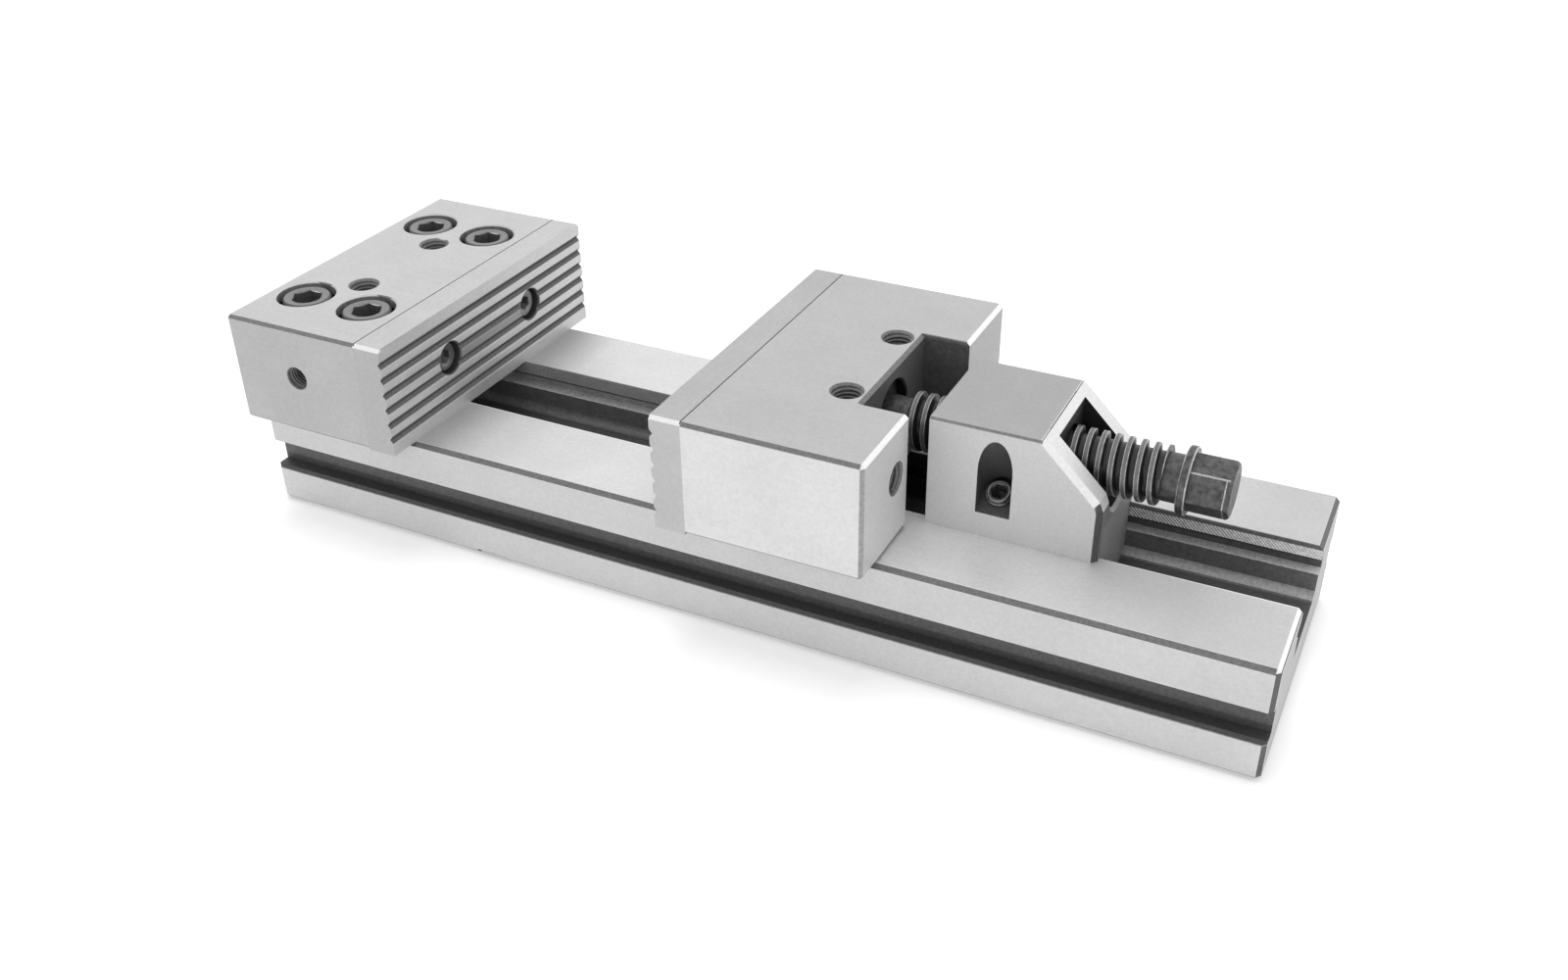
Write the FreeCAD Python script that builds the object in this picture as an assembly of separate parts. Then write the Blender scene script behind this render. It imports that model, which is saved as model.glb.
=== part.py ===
import FreeCAD, Part
import math
import os

# A modular machine vise. A ground steel bed carries a fixed jaw at its left end. A movable jaw and
# a screw block slide along the bed, guided by a channel with an undercut below each lip. The block
# is set at a coarse position and anchored by a cross pin below the lips. A trapezoidal lead screw,
# held in the movable jaw, then runs through the nut thread of the block and closes the jaw.
# The origin is the centre of the bed's underside. X runs along the bed from the fixed jaw to the
# screw, Y across it, and Z up. All sizes are millimetres.

# Bed
BED_LENGTH = 450.0
BED_WIDTH = 125.0
BED_HEIGHT = 50.0
BED_CHAMFER = 2.0
CHANNEL_WIDTH = 43.6
CHANNEL_DEPTH = 24.4
CHANNEL_FILLET = 3.4
CHANNEL_EDGE_CHAMFER = 0.4
LIP_THICKNESS = 6.8
UNDERCUT_DEPTH = 5.4
UNDERCUT_HEIGHT = 6.3
CLAMP_GROOVE_LEVEL = 18.0
CLAMP_GROOVE_HEIGHT = 13.5
CLAMP_GROOVE_DEPTH = 7.0
CLAMP_GROOVE_CHAMFER = 1.7
KEYWAY_WIDTH = 16.0
KEYWAY_DEPTH = 2.5
CROSS_KEYWAY_OFFSET = 118.8
LONG_KEYWAY_END_MARGIN = 40.0

# Jaws and the distances between them along the bed
JAW_WIDTH = 150.0
JAW_HEIGHT = 50.0
JAW_CHAMFER = 1.6
FIXED_JAW_SETBACK = 2.1
FIXED_JAW_LENGTH = 68.5
JAW_OPENING = 127.5
MOVABLE_JAW_LENGTH = 74.8
JAW_TO_BLOCK_GAP = 6.0

# Jaw plates with horizontal gripping grooves
PLATE_THICKNESS = 13.5
PLATE_GROOVES = 6
PLATE_GROOVE_PITCH = 7.0
PLATE_GROOVE_WIDTH = 3.3
PLATE_GROOVE_DEPTH = 1.4
PLATE_GROOVE_ROUNDING = 2.0
PLATE_FIRST_GROOVE_DROP = 7.4
PLATE_SCREW_SPACING = 60.8
PLATE_SCREW_HEIGHT = 26.0
PLATE_SCREW_THREAD = 8.0
PLATE_SCREW_HEAD = 13.0
PLATE_SCREW_KEY = 6.0
PLATE_SCREW_LENGTH = 20.0
PLATE_COUNTERBORE = 14.8
PLATE_COUNTERBORE_DEPTH = 11.0

# Fixed jaw fasteners
JAW_SCREW_THREAD = 14.0
JAW_SCREW_HEAD = 21.0
JAW_SCREW_KEY = 12.0
JAW_SCREW_LENGTH = 55.0
JAW_SCREW_SPACING_X = 33.0
JAW_SCREW_SPACING_Y = 88.0
JAW_COUNTERBORE = 25.5
JAW_COUNTERBORE_DEPTH = 15.0
DOWEL_DIAMETER = 10.0
DOWEL_LENGTH = 24.0

# Threaded holes of the jaws, for stops and extra fixtures
TOP_HOLE_THREAD = 12.0
TOP_HOLE_CHAMFER = 1.0
TOP_HOLE_DEPTH = 22.0
FIXED_TOP_HOLE_SPACING = 50.4
MOVABLE_TOP_HOLE_SPACING = 50.8
TOP_HOLE_TO_POCKET = 9.15
REAR_HOLE_SPACING = 87.4
REAR_HOLE_HEIGHT = 27.8
SIDE_HOLE_THREAD = 10.0
SIDE_HOLE_CHAMFER = 0.5
SIDE_HOLE_DEPTH = 20.0
SIDE_HOLE_HEIGHT = 26.6

# Movable jaw: rear pocket, screw seat and the bar that holds it down
REAR_POCKET_LENGTH = 19.6
REAR_POCKET_WIDTH = 66.0
REAR_POCKET_FRONT_CHAMFER = 1.6
REAR_POCKET_SIDE_CHAMFER = 0.5
SEAT_DEPTH = 30.0
SEAT_MOUTH_DIAMETER = 29.6
SEAT_MOUTH_DEPTH = 4.0
SEAT_MOUTH_CHAMFER = 0.7
THRUST_PAD_THICKNESS = 6.0
HOLD_BAR_DEPTH = 20.5
HOLD_BAR_END_MARGIN = 1.5
HOLD_SCREW_THREAD = 10.0
HOLD_SCREW_HEAD = 16.0
HOLD_SCREW_KEY = 8.0
HOLD_SCREW_LENGTH = 22.0
HOLD_SCREW_SPACING = 26.0
HOLD_COUNTERBORE = 17.5
HOLD_COUNTERBORE_DEPTH = 11.0
RETAINING_PIN_DIAMETER = 6.0
RETAINING_PIN_LENGTH = 40.0

# Lead screw
SCREW_AXIS_HEIGHT = 28.5
SCREW_DIAMETER = 24.0
SCREW_PITCH = 5.0
SCREW_THREAD_DEPTH = 2.75
SCREW_CREST_FLAT = 1.85
SCREW_FLANK_ANGLE = 15.0
JOURNAL_DIAMETER = 17.0
JOURNAL_LENGTH = 32.5
THREAD_LENGTH = 102.5
THREAD_START_CHAMFER = 1.4
NECK_LENGTH = 6.3
NECK_DIAMETER = 19.0
COLLAR_DIAMETER = 27.0
COLLAR_THICKNESS = 3.4
SCREW_HEX_ACROSS_FLATS = 20.0
SCREW_HEX_LENGTH = 15.6
SCREW_HEX_TURN = 43.0

# Screw block
BLOCK_WIDTH = 53.4
BLOCK_LENGTH = 68.8
BLOCK_HEIGHT = 47.3
BLOCK_SLOPE = 23.2
BLOCK_TOP_CHAMFER = 1.0
BLOCK_CORNER_CHAMFER = 2.2
NUT_LENGTH = 47.5
BLOCK_POCKET_RADIUS = 16.5
BLOCK_POCKET_CHAMFER = 1.5
KEEL_DEPTH = 24.0
KEEL_CORNER_RADIUS = 9.0
WINDOW_OFFSET = 27.0
WINDOW_WIDTH = 13.8
WINDOW_AXIS_HEIGHT = 29.0
WINDOW_FLOOR_HEIGHT = 10.3
WINDOW_TILT = 30.0
SET_SCREW_THREAD = 10.0
SET_SCREW_KEY = 5.0
SET_SCREW_KEY_DEPTH = 6.0
SET_SCREW_PROUD = 3.5
SET_SCREW_POINT_DIAMETER = 5.0
ANCHOR_PIN_DIAMETER = 5.6

# Clearances
SLIDE_GAP = 0.05
GUIDE_CLEARANCE = 0.1
BAR_CLEARANCE = 0.15
RUNNING_CLEARANCE = 0.05
THREAD_CLEARANCE = 0.05
SCREW_HOLE_CLEARANCE = 0.5
PIN_HOLE_CLEARANCE = 0.02
PIN_GROOVE_CLEARANCE = 0.2
ANCHOR_CLEARANCE = 0.3
HOLE_END_CLEARANCE = 1.0

# Small edge breaks on turned parts and at counterbores, and how far a cutting tool reaches past a face
EDGE_BREAK = 0.6
COUNTERBORE_CHAMFER = 0.6
TOOL_OVERRUN = 1.0

# Levels, counted up from the underside of the bed
bed_top = BED_HEIGHT
jaw_top = bed_top + JAW_HEIGHT
slide_level = bed_top + SLIDE_GAP
screw_level = bed_top + SCREW_AXIS_HEIGHT
channel_floor = bed_top - CHANNEL_DEPTH
undercut_top = bed_top - LIP_THICKNESS
undercut_bottom = undercut_top - UNDERCUT_HEIGHT

# Stations along X
bed_left = -BED_LENGTH / 2
bed_right = BED_LENGTH / 2
fixed_jaw_left = bed_left + FIXED_JAW_SETBACK
fixed_jaw_right = fixed_jaw_left + FIXED_JAW_LENGTH
fixed_jaw_middle = (fixed_jaw_left + fixed_jaw_right) / 2
fixed_plate_face = fixed_jaw_right + PLATE_THICKNESS
movable_plate_face = fixed_plate_face + JAW_OPENING
movable_jaw_left = movable_plate_face + PLATE_THICKNESS
movable_jaw_right = movable_jaw_left + MOVABLE_JAW_LENGTH
pocket_wall = movable_jaw_right - REAR_POCKET_LENGTH
seat_end = pocket_wall - SEAT_DEPTH
screw_nose = seat_end + THRUST_PAD_THICKNESS + RUNNING_CLEARANCE
retaining_pin_x = pocket_wall - SEAT_MOUTH_DEPTH - RETAINING_PIN_DIAMETER
block_left = movable_jaw_right + JAW_TO_BLOCK_GAP
block_right = block_left + BLOCK_LENGTH
nut_end = block_left + NUT_LENGTH
window_x = block_left + WINDOW_OFFSET

# Radii that pieces share
screw_radius = SCREW_DIAMETER / 2
journal_radius = JOURNAL_DIAMETER / 2
journal_groove_radius = journal_radius - RETAINING_PIN_DIAMETER / 2
retaining_pin_y = journal_groove_radius + PIN_GROOVE_CLEARANCE + RETAINING_PIN_DIAMETER / 2
seat_radius = journal_radius + RUNNING_CLEARANCE
nut_radius = screw_radius + RUNNING_CLEARANCE

UP = FreeCAD.Vector(0, 0, 1)
DOWN = FreeCAD.Vector(0, 0, -1)
RIGHT = FreeCAD.Vector(1, 0, 0)
SIDES = {"near": -1, "far": 1}


def at(x, y, z):
    return FreeCAD.Vector(x, y, z)


def box(x0, x1, y0, y1, z0, z1):
    return Part.makeBox(x1 - x0, y1 - y0, z1 - z0, at(x0, y0, z0))


def rod(radius, start, end):
    axis = end.sub(start)
    return Part.makeCylinder(radius, axis.Length, start, axis)


def placed(shape, point, direction):
    """Moves a shape made along +Z so that its axis starts at point and runs along direction."""
    moved = shape.copy()
    moved.Placement = FreeCAD.Placement(point, FreeCAD.Rotation(UP, direction))
    return moved


def prism(steps, to_space, travel):
    """Extrudes a closed outline. A step is a pair of numbers, or two pairs for an arc."""
    edges = []
    start = to_space(*steps[0])
    last = start
    for step in steps[1:]:
        if isinstance(step[0], tuple):
            via, end = to_space(*step[0]), to_space(*step[1])
            edges.append(Part.Arc(last, via, end).toShape())
        else:
            end = to_space(*step)
            edges.append(Part.LineSegment(last, end).toShape())
        last = end
    if last.distanceToPoint(start) > Part.Precision.confusion():
        edges.append(Part.LineSegment(last, start).toShape())
    return Part.Face(Part.Wire(edges)).extrude(travel)


def prism_x(x0, x1, steps):
    """Extrudes an outline of (y, z) steps from x0 to x1."""
    return prism(steps, lambda y, z: at(x0, y, z), at(x1 - x0, 0, 0))


def prism_y(y0, y1, steps):
    """Extrudes an outline of (x, z) steps from y0 to y1."""
    return prism(steps, lambda x, z: at(x, y0, z), at(0, y1 - y0, 0))


def turned(profile, point, direction):
    """Turns a profile of (radius, distance) pairs about an axis from point along direction."""
    corners = [at(radius, 0, distance) for radius, distance in profile]
    corners = [at(0, 0, profile[0][1])] + corners + [at(0, 0, profile[-1][1])]
    face = Part.Face(Part.makePolygon(corners + [corners[0]]))
    return placed(face.revolve(at(0, 0, 0), UP, 360), point, direction)


def hex_bar(across_flats, length, turn=0.0):
    """A hexagonal bar along +Z from the origin."""
    corner = across_flats / math.sqrt(3)
    angles = [math.radians(turn + 60 * i) for i in range(7)]
    points = [at(corner * math.cos(a), corner * math.sin(a), 0) for a in angles]
    return Part.Face(Part.makePolygon(points)).extrude(at(0, 0, length))


def chamfered_box(x0, x1, y0, y1, z0, z1, size):
    block = box(x0, x1, y0, y1, z0, z1)
    return block.makeChamfer(size, block.Edges)


def counterbored_hole(thread, clearance, bore, bore_depth, length, seat, direction):
    """Tool for a screw hole. Seat is where the head rests, and direction leaves the head's end."""
    shank = turned([(thread / 2 + clearance, -length), (thread / 2 + clearance, 0)], seat, direction)
    wall = bore / 2
    rim = wall + COUNTERBORE_CHAMFER
    profile = [(wall, 0), (wall, bore_depth - COUNTERBORE_CHAMFER), (rim, bore_depth)]
    mouth = turned(profile + [(rim, bore_depth + TOOL_OVERRUN)], seat, direction)
    return shank.fuse(mouth)


def blind_hole(diameter, depth, chamfer, mouth, direction):
    """Tool for a blind hole with a chamfered mouth. Direction points out of the hole."""
    radius = diameter / 2
    profile = [(radius, -depth), (radius, -chamfer), (radius + chamfer, 0)]
    return turned(profile + [(radius + chamfer, TOOL_OVERRUN)], mouth, direction)


def socket_screw(thread, head, key, length, seat, direction):
    """A socket head cap screw. Its head is as tall as its thread is wide."""
    shank_radius = thread / 2
    head_radius = head / 2
    profile = [
        (shank_radius - EDGE_BREAK, -length),
        (shank_radius, EDGE_BREAK - length),
        (shank_radius, 0),
        (head_radius, 0),
        (head_radius, thread - EDGE_BREAK),
        (head_radius - EDGE_BREAK, thread),
    ]
    body = turned(profile, at(0, 0, 0), UP)
    socket = hex_bar(key, thread)
    socket.translate(at(0, 0, thread / 2))
    return placed(body.cut(socket), seat, direction)


def dowel(diameter, length, start, direction):
    radius = diameter / 2
    profile = [
        (radius - EDGE_BREAK, 0),
        (radius, EDGE_BREAK),
        (radius, length - EDGE_BREAK),
        (radius - EDGE_BREAK, length),
    ]
    return turned(profile, start, direction)


# Bed


def channel_tool():
    """The guide channel: lips at the top, an undercut below each, and a filleted floor."""
    half = CHANNEL_WIDTH / 2
    wide = half + UNDERCUT_DEPTH
    edge = CHANNEL_EDGE_CHAMFER
    inset = CHANNEL_FILLET * (1 - math.sqrt(0.5))
    fillet_top = channel_floor + CHANNEL_FILLET
    flat = half - CHANNEL_FILLET
    above = bed_top + TOOL_OVERRUN
    mouth = half + edge
    steps = [(-mouth, above), (-mouth, bed_top), (-half, bed_top - edge), (-half, undercut_top)]
    steps += [(-wide, undercut_top), (-wide, undercut_bottom), (-half, undercut_bottom)]
    steps += [(-half, fillet_top)]
    steps += [((inset - half, channel_floor + inset), (-flat, channel_floor)), (flat, channel_floor)]
    steps += [((half - inset, channel_floor + inset), (half, fillet_top))]
    steps += [(half, undercut_bottom), (wide, undercut_bottom), (wide, undercut_top)]
    steps += [(half, undercut_top), (half, bed_top - edge), (mouth, bed_top), (mouth, above)]
    return prism_x(bed_left - TOOL_OVERRUN, bed_right + TOOL_OVERRUN, steps)


def clamp_groove_tool(side):
    """One side groove for clamps that hold the bed to a machine table."""
    face = BED_WIDTH / 2
    low = CLAMP_GROOVE_LEVEL
    high = low + CLAMP_GROOVE_HEIGHT
    back = face - CLAMP_GROOVE_DEPTH
    lip = CLAMP_GROOVE_CHAMFER
    outside = face + TOOL_OVERRUN
    steps = [(outside, low - lip - TOOL_OVERRUN), (face - lip, low), (back, low), (back, high)]
    steps += [(outside, high)]
    steps = [(side * y, z) for y, z in steps]
    return prism_x(bed_left - TOOL_OVERRUN, bed_right + TOOL_OVERRUN, steps)


def keyway_tools():
    """One keyway across the underside, and one along it that stops short of both ends."""
    half = KEYWAY_WIDTH / 2
    across = bed_left + CROSS_KEYWAY_OFFSET
    side = BED_WIDTH / 2 + TOOL_OVERRUN
    end = BED_LENGTH / 2 - LONG_KEYWAY_END_MARGIN
    cross = box(across - half, across + half, -side, side, -TOOL_OVERRUN, KEYWAY_DEPTH)
    along = box(-end, end, -half, half, -TOOL_OVERRUN, KEYWAY_DEPTH)
    return [cross, along]


def jaw_screw_places():
    for dx in (-JAW_SCREW_SPACING_X / 2, JAW_SCREW_SPACING_X / 2):
        for dy in (-JAW_SCREW_SPACING_Y / 2, JAW_SCREW_SPACING_Y / 2):
            yield fixed_jaw_middle + dx, dy


def dowel_places():
    for dy in (-JAW_SCREW_SPACING_Y / 2, JAW_SCREW_SPACING_Y / 2):
        yield fixed_jaw_middle, dy


def jaw_screw_seat():
    return jaw_top - JAW_COUNTERBORE_DEPTH


def jaw_screw_hole_end():
    return jaw_screw_seat() - JAW_SCREW_LENGTH - HOLE_END_CLEARANCE


def base_rail():
    side = BED_WIDTH / 2
    bed = chamfered_box(bed_left, bed_right, -side, side, 0, bed_top, BED_CHAMFER)
    bed = bed.cut([channel_tool(), clamp_groove_tool(-1), clamp_groove_tool(1)] + keyway_tools())
    holes = []
    above = bed_top + TOOL_OVERRUN
    for x, y in jaw_screw_places():
        radius = JAW_SCREW_THREAD / 2 + THREAD_CLEARANCE
        holes.append(rod(radius, at(x, y, jaw_screw_hole_end()), at(x, y, above)))
    for x, y in dowel_places():
        radius = DOWEL_DIAMETER / 2 + PIN_HOLE_CLEARANCE
        bottom = bed_top - DOWEL_LENGTH / 2 - HOLE_END_CLEARANCE
        holes.append(rod(radius, at(x, y, bottom), at(x, y, above)))
    return bed.cut(holes)


# Jaw plates


def plate_screw_places():
    for dy in (-PLATE_SCREW_SPACING / 2, PLATE_SCREW_SPACING / 2):
        yield dy, bed_top + PLATE_SCREW_HEIGHT


def plate_screw_seat(face, facing):
    """Station of the head's seat, for a plate whose gripping face looks along facing."""
    return face - facing * PLATE_COUNTERBORE_DEPTH


def plate_groove_tool(face, facing, level):
    """One V-shaped gripping groove, centred on level. Its flanks run into the lands in arcs."""
    half = PLATE_GROOVE_WIDTH / 2
    radius = PLATE_GROOVE_ROUNDING
    turn = math.atan2(PLATE_GROOVE_DEPTH, half)
    mouth = half + radius * math.tan(turn / 2)
    end = JAW_WIDTH / 2 + TOOL_OVERRUN

    def point(depth, rise):
        return face - facing * depth, level + rise

    def shoulder(angle, side):
        depth = radius * (1 - math.cos(angle))
        return point(depth, side * (mouth - radius * math.sin(angle)))

    steps = [point(-TOOL_OVERRUN, -mouth), shoulder(0, -1)]
    steps += [(shoulder(turn / 2, -1), shoulder(turn, -1)), point(PLATE_GROOVE_DEPTH, 0)]
    steps += [shoulder(turn, 1), (shoulder(turn / 2, 1), shoulder(0, 1))]
    steps.append(point(-TOOL_OVERRUN, mouth))
    return prism_y(-end, end, steps)


def jaw_plate(face, facing, bottom):
    """A hardened plate. Facing is 1 where its gripping face looks along +X, and -1 along -X."""
    side = JAW_WIDTH / 2
    cut = JAW_CHAMFER
    steps = [(-side, bottom), (side, bottom), (side, jaw_top - cut), (side - cut, jaw_top)]
    steps += [(cut - side, jaw_top), (-side, jaw_top - cut)]
    back = face - facing * PLATE_THICKNESS
    plate = prism_x(min(face, back), max(face, back), steps)
    tools = []
    for i in range(PLATE_GROOVES):
        level = jaw_top - PLATE_FIRST_GROOVE_DROP - i * PLATE_GROOVE_PITCH
        tools.append(plate_groove_tool(face, facing, level))
    for y, z in plate_screw_places():
        seat = at(plate_screw_seat(face, facing), y, z)
        tools.append(counterbored_hole(PLATE_SCREW_THREAD, SCREW_HOLE_CLEARANCE, PLATE_COUNTERBORE,
                                       PLATE_COUNTERBORE_DEPTH, PLATE_THICKNESS, seat,
                                       at(facing, 0, 0)))
    return plate.cut(tools)


def plate_screws(face, facing):
    for y, z in plate_screw_places():
        seat = at(plate_screw_seat(face, facing), y, z)
        yield socket_screw(PLATE_SCREW_THREAD, PLATE_SCREW_HEAD, PLATE_SCREW_KEY,
                           PLATE_SCREW_LENGTH, seat, at(facing, 0, 0))


def plate_screw_hole_tools(face, facing):
    """Tapped holes for the plate screws in the jaw behind a plate."""
    radius = PLATE_SCREW_THREAD / 2 + THREAD_CLEARANCE
    reach = PLATE_SCREW_LENGTH + HOLE_END_CLEARANCE
    seat = plate_screw_seat(face, facing)
    return [rod(radius, at(seat, y, z), at(seat - facing * reach, y, z))
            for y, z in plate_screw_places()]


# Fixed jaw


def side_hole_tool(x, side):
    mouth = at(x, side * JAW_WIDTH / 2, bed_top + SIDE_HOLE_HEIGHT)
    return blind_hole(SIDE_HOLE_THREAD, SIDE_HOLE_DEPTH, SIDE_HOLE_CHAMFER, mouth, at(0, side, 0))


def top_hole_tool(x, y):
    return blind_hole(TOP_HOLE_THREAD, TOP_HOLE_DEPTH, TOP_HOLE_CHAMFER, at(x, y, jaw_top), UP)


def fixed_jaw():
    """The block below the plate's level, chamfered on every edge but those against the plate."""
    side = JAW_WIDTH / 2
    past = fixed_jaw_right + 2 * JAW_CHAMFER
    jaw = chamfered_box(fixed_jaw_left, past, -side, side, bed_top, jaw_top, JAW_CHAMFER)
    jaw = jaw.common(box(fixed_jaw_left, fixed_jaw_right, -side, side, bed_top, jaw_top))
    tools = plate_screw_hole_tools(fixed_plate_face, 1)
    for x, y in jaw_screw_places():
        seat = at(x, y, jaw_screw_seat())
        tools.append(counterbored_hole(JAW_SCREW_THREAD, SCREW_HOLE_CLEARANCE, JAW_COUNTERBORE,
                                       JAW_COUNTERBORE_DEPTH, JAW_HEIGHT, seat, UP))
    for x, y in dowel_places():
        radius = DOWEL_DIAMETER / 2 + PIN_HOLE_CLEARANCE
        top = bed_top + DOWEL_LENGTH / 2 + HOLE_END_CLEARANCE
        tools.append(rod(radius, at(x, y, bed_top - TOOL_OVERRUN), at(x, y, top)))
    for side in SIDES.values():
        tools.append(side_hole_tool(fixed_jaw_middle, side))
        tools.append(top_hole_tool(fixed_jaw_middle, side * FIXED_TOP_HOLE_SPACING / 2))
    return jaw.cut(tools)


# Movable jaw


def hold_screw_places():
    middle = (movable_jaw_left + pocket_wall) / 2
    for dx in (-HOLD_SCREW_SPACING / 2, HOLD_SCREW_SPACING / 2):
        yield middle + dx


def hold_screw_seat():
    return slide_level - HOLD_BAR_DEPTH + HOLD_COUNTERBORE_DEPTH


def rear_pocket_tools():
    """The pocket behind the jaw that clears the block's front end, with broken edges at its top."""
    half = REAR_POCKET_WIDTH / 2
    past = TOOL_OVERRUN
    top = jaw_top + past
    tools = [box(pocket_wall, movable_jaw_right + past, -half, half, slide_level - past, top)]
    cut = REAR_POCKET_FRONT_CHAMFER
    low = (pocket_wall + past, jaw_top - cut - past)
    tools.append(prism_y(-half, half, [(pocket_wall - cut - past, top), low, (low[0], top)]))
    cut = REAR_POCKET_SIDE_CHAMFER
    for side in SIDES.values():
        inside = side * (half - past)
        steps = [(side * (half + cut + past), top), (inside, jaw_top - cut - past), (inside, top)]
        tools.append(prism_x(pocket_wall, movable_jaw_right + past, steps))
    return tools


def seat_mouth_tool():
    """The shallow recess round the journal in the pocket's wall, with a broken rim."""
    inner = SEAT_MOUTH_DIAMETER / 2
    outer = inner + SEAT_MOUTH_CHAMFER
    profile = [(inner, -SEAT_MOUTH_DEPTH), (inner, -SEAT_MOUTH_CHAMFER), (outer, 0)]
    profile.append((outer, TOOL_OVERRUN))
    return turned(profile, at(pocket_wall, 0, screw_level), RIGHT)


def movable_jaw():
    side = JAW_WIDTH / 2
    past = movable_jaw_left - 2 * JAW_CHAMFER
    jaw = chamfered_box(past, movable_jaw_right, -side, side, slide_level, jaw_top, JAW_CHAMFER)
    jaw = jaw.common(box(movable_jaw_left, movable_jaw_right, -side, side, slide_level, jaw_top))
    under = slide_level - TOOL_OVERRUN
    tools = plate_screw_hole_tools(movable_plate_face, -1) + rear_pocket_tools()
    axis_end = at(pocket_wall + TOOL_OVERRUN, 0, screw_level)
    tools.append(rod(seat_radius, at(seat_end, 0, screw_level), axis_end))
    tools.append(seat_mouth_tool())
    for side in SIDES.values():
        y = side * MOVABLE_TOP_HOLE_SPACING / 2
        tools.append(top_hole_tool(pocket_wall - TOP_HOLE_TO_POCKET, y))
        mouth = at(movable_jaw_right, side * REAR_HOLE_SPACING / 2, bed_top + REAR_HOLE_HEIGHT)
        tools.append(blind_hole(TOP_HOLE_THREAD, TOP_HOLE_DEPTH, TOP_HOLE_CHAMFER, mouth, RIGHT))
        pin_radius = RETAINING_PIN_DIAMETER / 2 + PIN_HOLE_CLEARANCE
        pin_y = side * retaining_pin_y
        top = slide_level + RETAINING_PIN_LENGTH + HOLE_END_CLEARANCE
        tools.append(rod(pin_radius, at(retaining_pin_x, pin_y, under),
                         at(retaining_pin_x, pin_y, top)))
    for x in hold_screw_places():
        radius = HOLD_SCREW_THREAD / 2 + THREAD_CLEARANCE
        top = hold_screw_seat() + HOLD_SCREW_LENGTH + HOLE_END_CLEARANCE
        tools.append(rod(radius, at(x, 0, under), at(x, 0, top)))
    return jaw.cut(tools)


def hold_down_bar():
    """A T bar below the movable jaw. Its flanges run below the lips of the bed."""
    stem = CHANNEL_WIDTH / 2 - GUIDE_CLEARANCE
    wing = CHANNEL_WIDTH / 2 + UNDERCUT_DEPTH - ANCHOR_CLEARANCE
    wing_top = undercut_top - BAR_CLEARANCE
    wing_bottom = undercut_bottom + BAR_CLEARANCE
    foot = slide_level - HOLD_BAR_DEPTH
    steps = [(-stem, slide_level), (-stem, wing_top), (-wing, wing_top), (-wing, wing_bottom)]
    steps += [(-stem, wing_bottom), (-stem, foot), (stem, foot), (stem, wing_bottom)]
    steps += [(wing, wing_bottom), (wing, wing_top), (stem, wing_top), (stem, slide_level)]
    left = movable_jaw_left + HOLD_BAR_END_MARGIN
    right = pocket_wall - HOLD_BAR_END_MARGIN
    tools = []
    for x in hold_screw_places():
        seat = at(x, 0, hold_screw_seat())
        tools.append(counterbored_hole(HOLD_SCREW_THREAD, SCREW_HOLE_CLEARANCE, HOLD_COUNTERBORE,
                                       HOLD_COUNTERBORE_DEPTH, HOLD_BAR_DEPTH, seat, DOWN))
    return prism_x(left, right, steps).cut(tools)


def thrust_pad():
    """The hardened disc that takes the push of the screw's nose."""
    radius = seat_radius - RUNNING_CLEARANCE
    profile = [(radius, 0), (radius, THRUST_PAD_THICKNESS)]
    return turned(profile, at(seat_end, 0, screw_level), RIGHT)


def retaining_pin(side):
    start = at(retaining_pin_x, side * retaining_pin_y, slide_level)
    return dowel(RETAINING_PIN_DIAMETER, RETAINING_PIN_LENGTH, start, UP)


# Lead screw


def thread_groove_tool():
    """The helical groove between the crests of a trapezoidal thread, along +Z from the origin."""
    root = screw_radius - SCREW_THREAD_DEPTH
    outside = screw_radius + TOOL_OVERRUN / 2
    slope = math.tan(math.radians(SCREW_FLANK_ANGLE))
    half_at_crest = (SCREW_PITCH - SCREW_CREST_FLAT) / 2
    half_at_root = half_at_crest - SCREW_THREAD_DEPTH * slope
    half_outside = half_at_crest + (outside - screw_radius) * slope
    corners = [at(root, 0, -half_at_root), at(outside, 0, -half_outside)]
    corners += [at(outside, 0, half_outside), at(root, 0, half_at_root)]
    profile = Part.makePolygon(corners + [corners[0]])
    helix = Part.makeHelix(SCREW_PITCH, THREAD_LENGTH + SCREW_PITCH * 3 / 2, root)
    pipe = Part.BRepOffsetAPI.MakePipeShell(Part.Wire(helix.Edges))
    pipe.setFrenetMode(True)
    pipe.add(profile)
    pipe.build()
    pipe.makeSolid()
    return Part.Solid(pipe.shape())


def threaded_bar():
    """Journal and thread along +Z from the nose. The groove starts in the air before the thread.
    It is cut in a longer bar, which is then cut to length, so that it also runs out of the end."""
    length = JOURNAL_LENGTH + THREAD_LENGTH
    spare = 3 * SCREW_PITCH
    chamfer = THREAD_START_CHAMFER
    profile = [(journal_radius - EDGE_BREAK, 0), (journal_radius, EDGE_BREAK)]
    profile += [(journal_radius, JOURNAL_LENGTH), (screw_radius - chamfer, JOURNAL_LENGTH)]
    profile += [(screw_radius, JOURNAL_LENGTH + chamfer), (screw_radius, length + spare)]
    bar = turned(profile, at(0, 0, 0), UP)
    groove = thread_groove_tool()
    groove.translate(at(0, 0, JOURNAL_LENGTH - SCREW_PITCH / 2))
    offcut = Part.makeCylinder(SCREW_DIAMETER, spare + TOOL_OVERRUN, at(0, 0, length))
    return bar.cut(groove).cut(offcut)


def journal_groove_tool():
    """The ring cut for the two retaining pins."""
    width = RETAINING_PIN_DIAMETER + 2 * PIN_GROOVE_CLEARANCE
    start = at(0, 0, retaining_pin_x - screw_nose - width / 2)
    ring = Part.makeCylinder(SCREW_DIAMETER, width, start)
    return ring.cut(Part.makeCylinder(journal_groove_radius, width, start))


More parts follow.
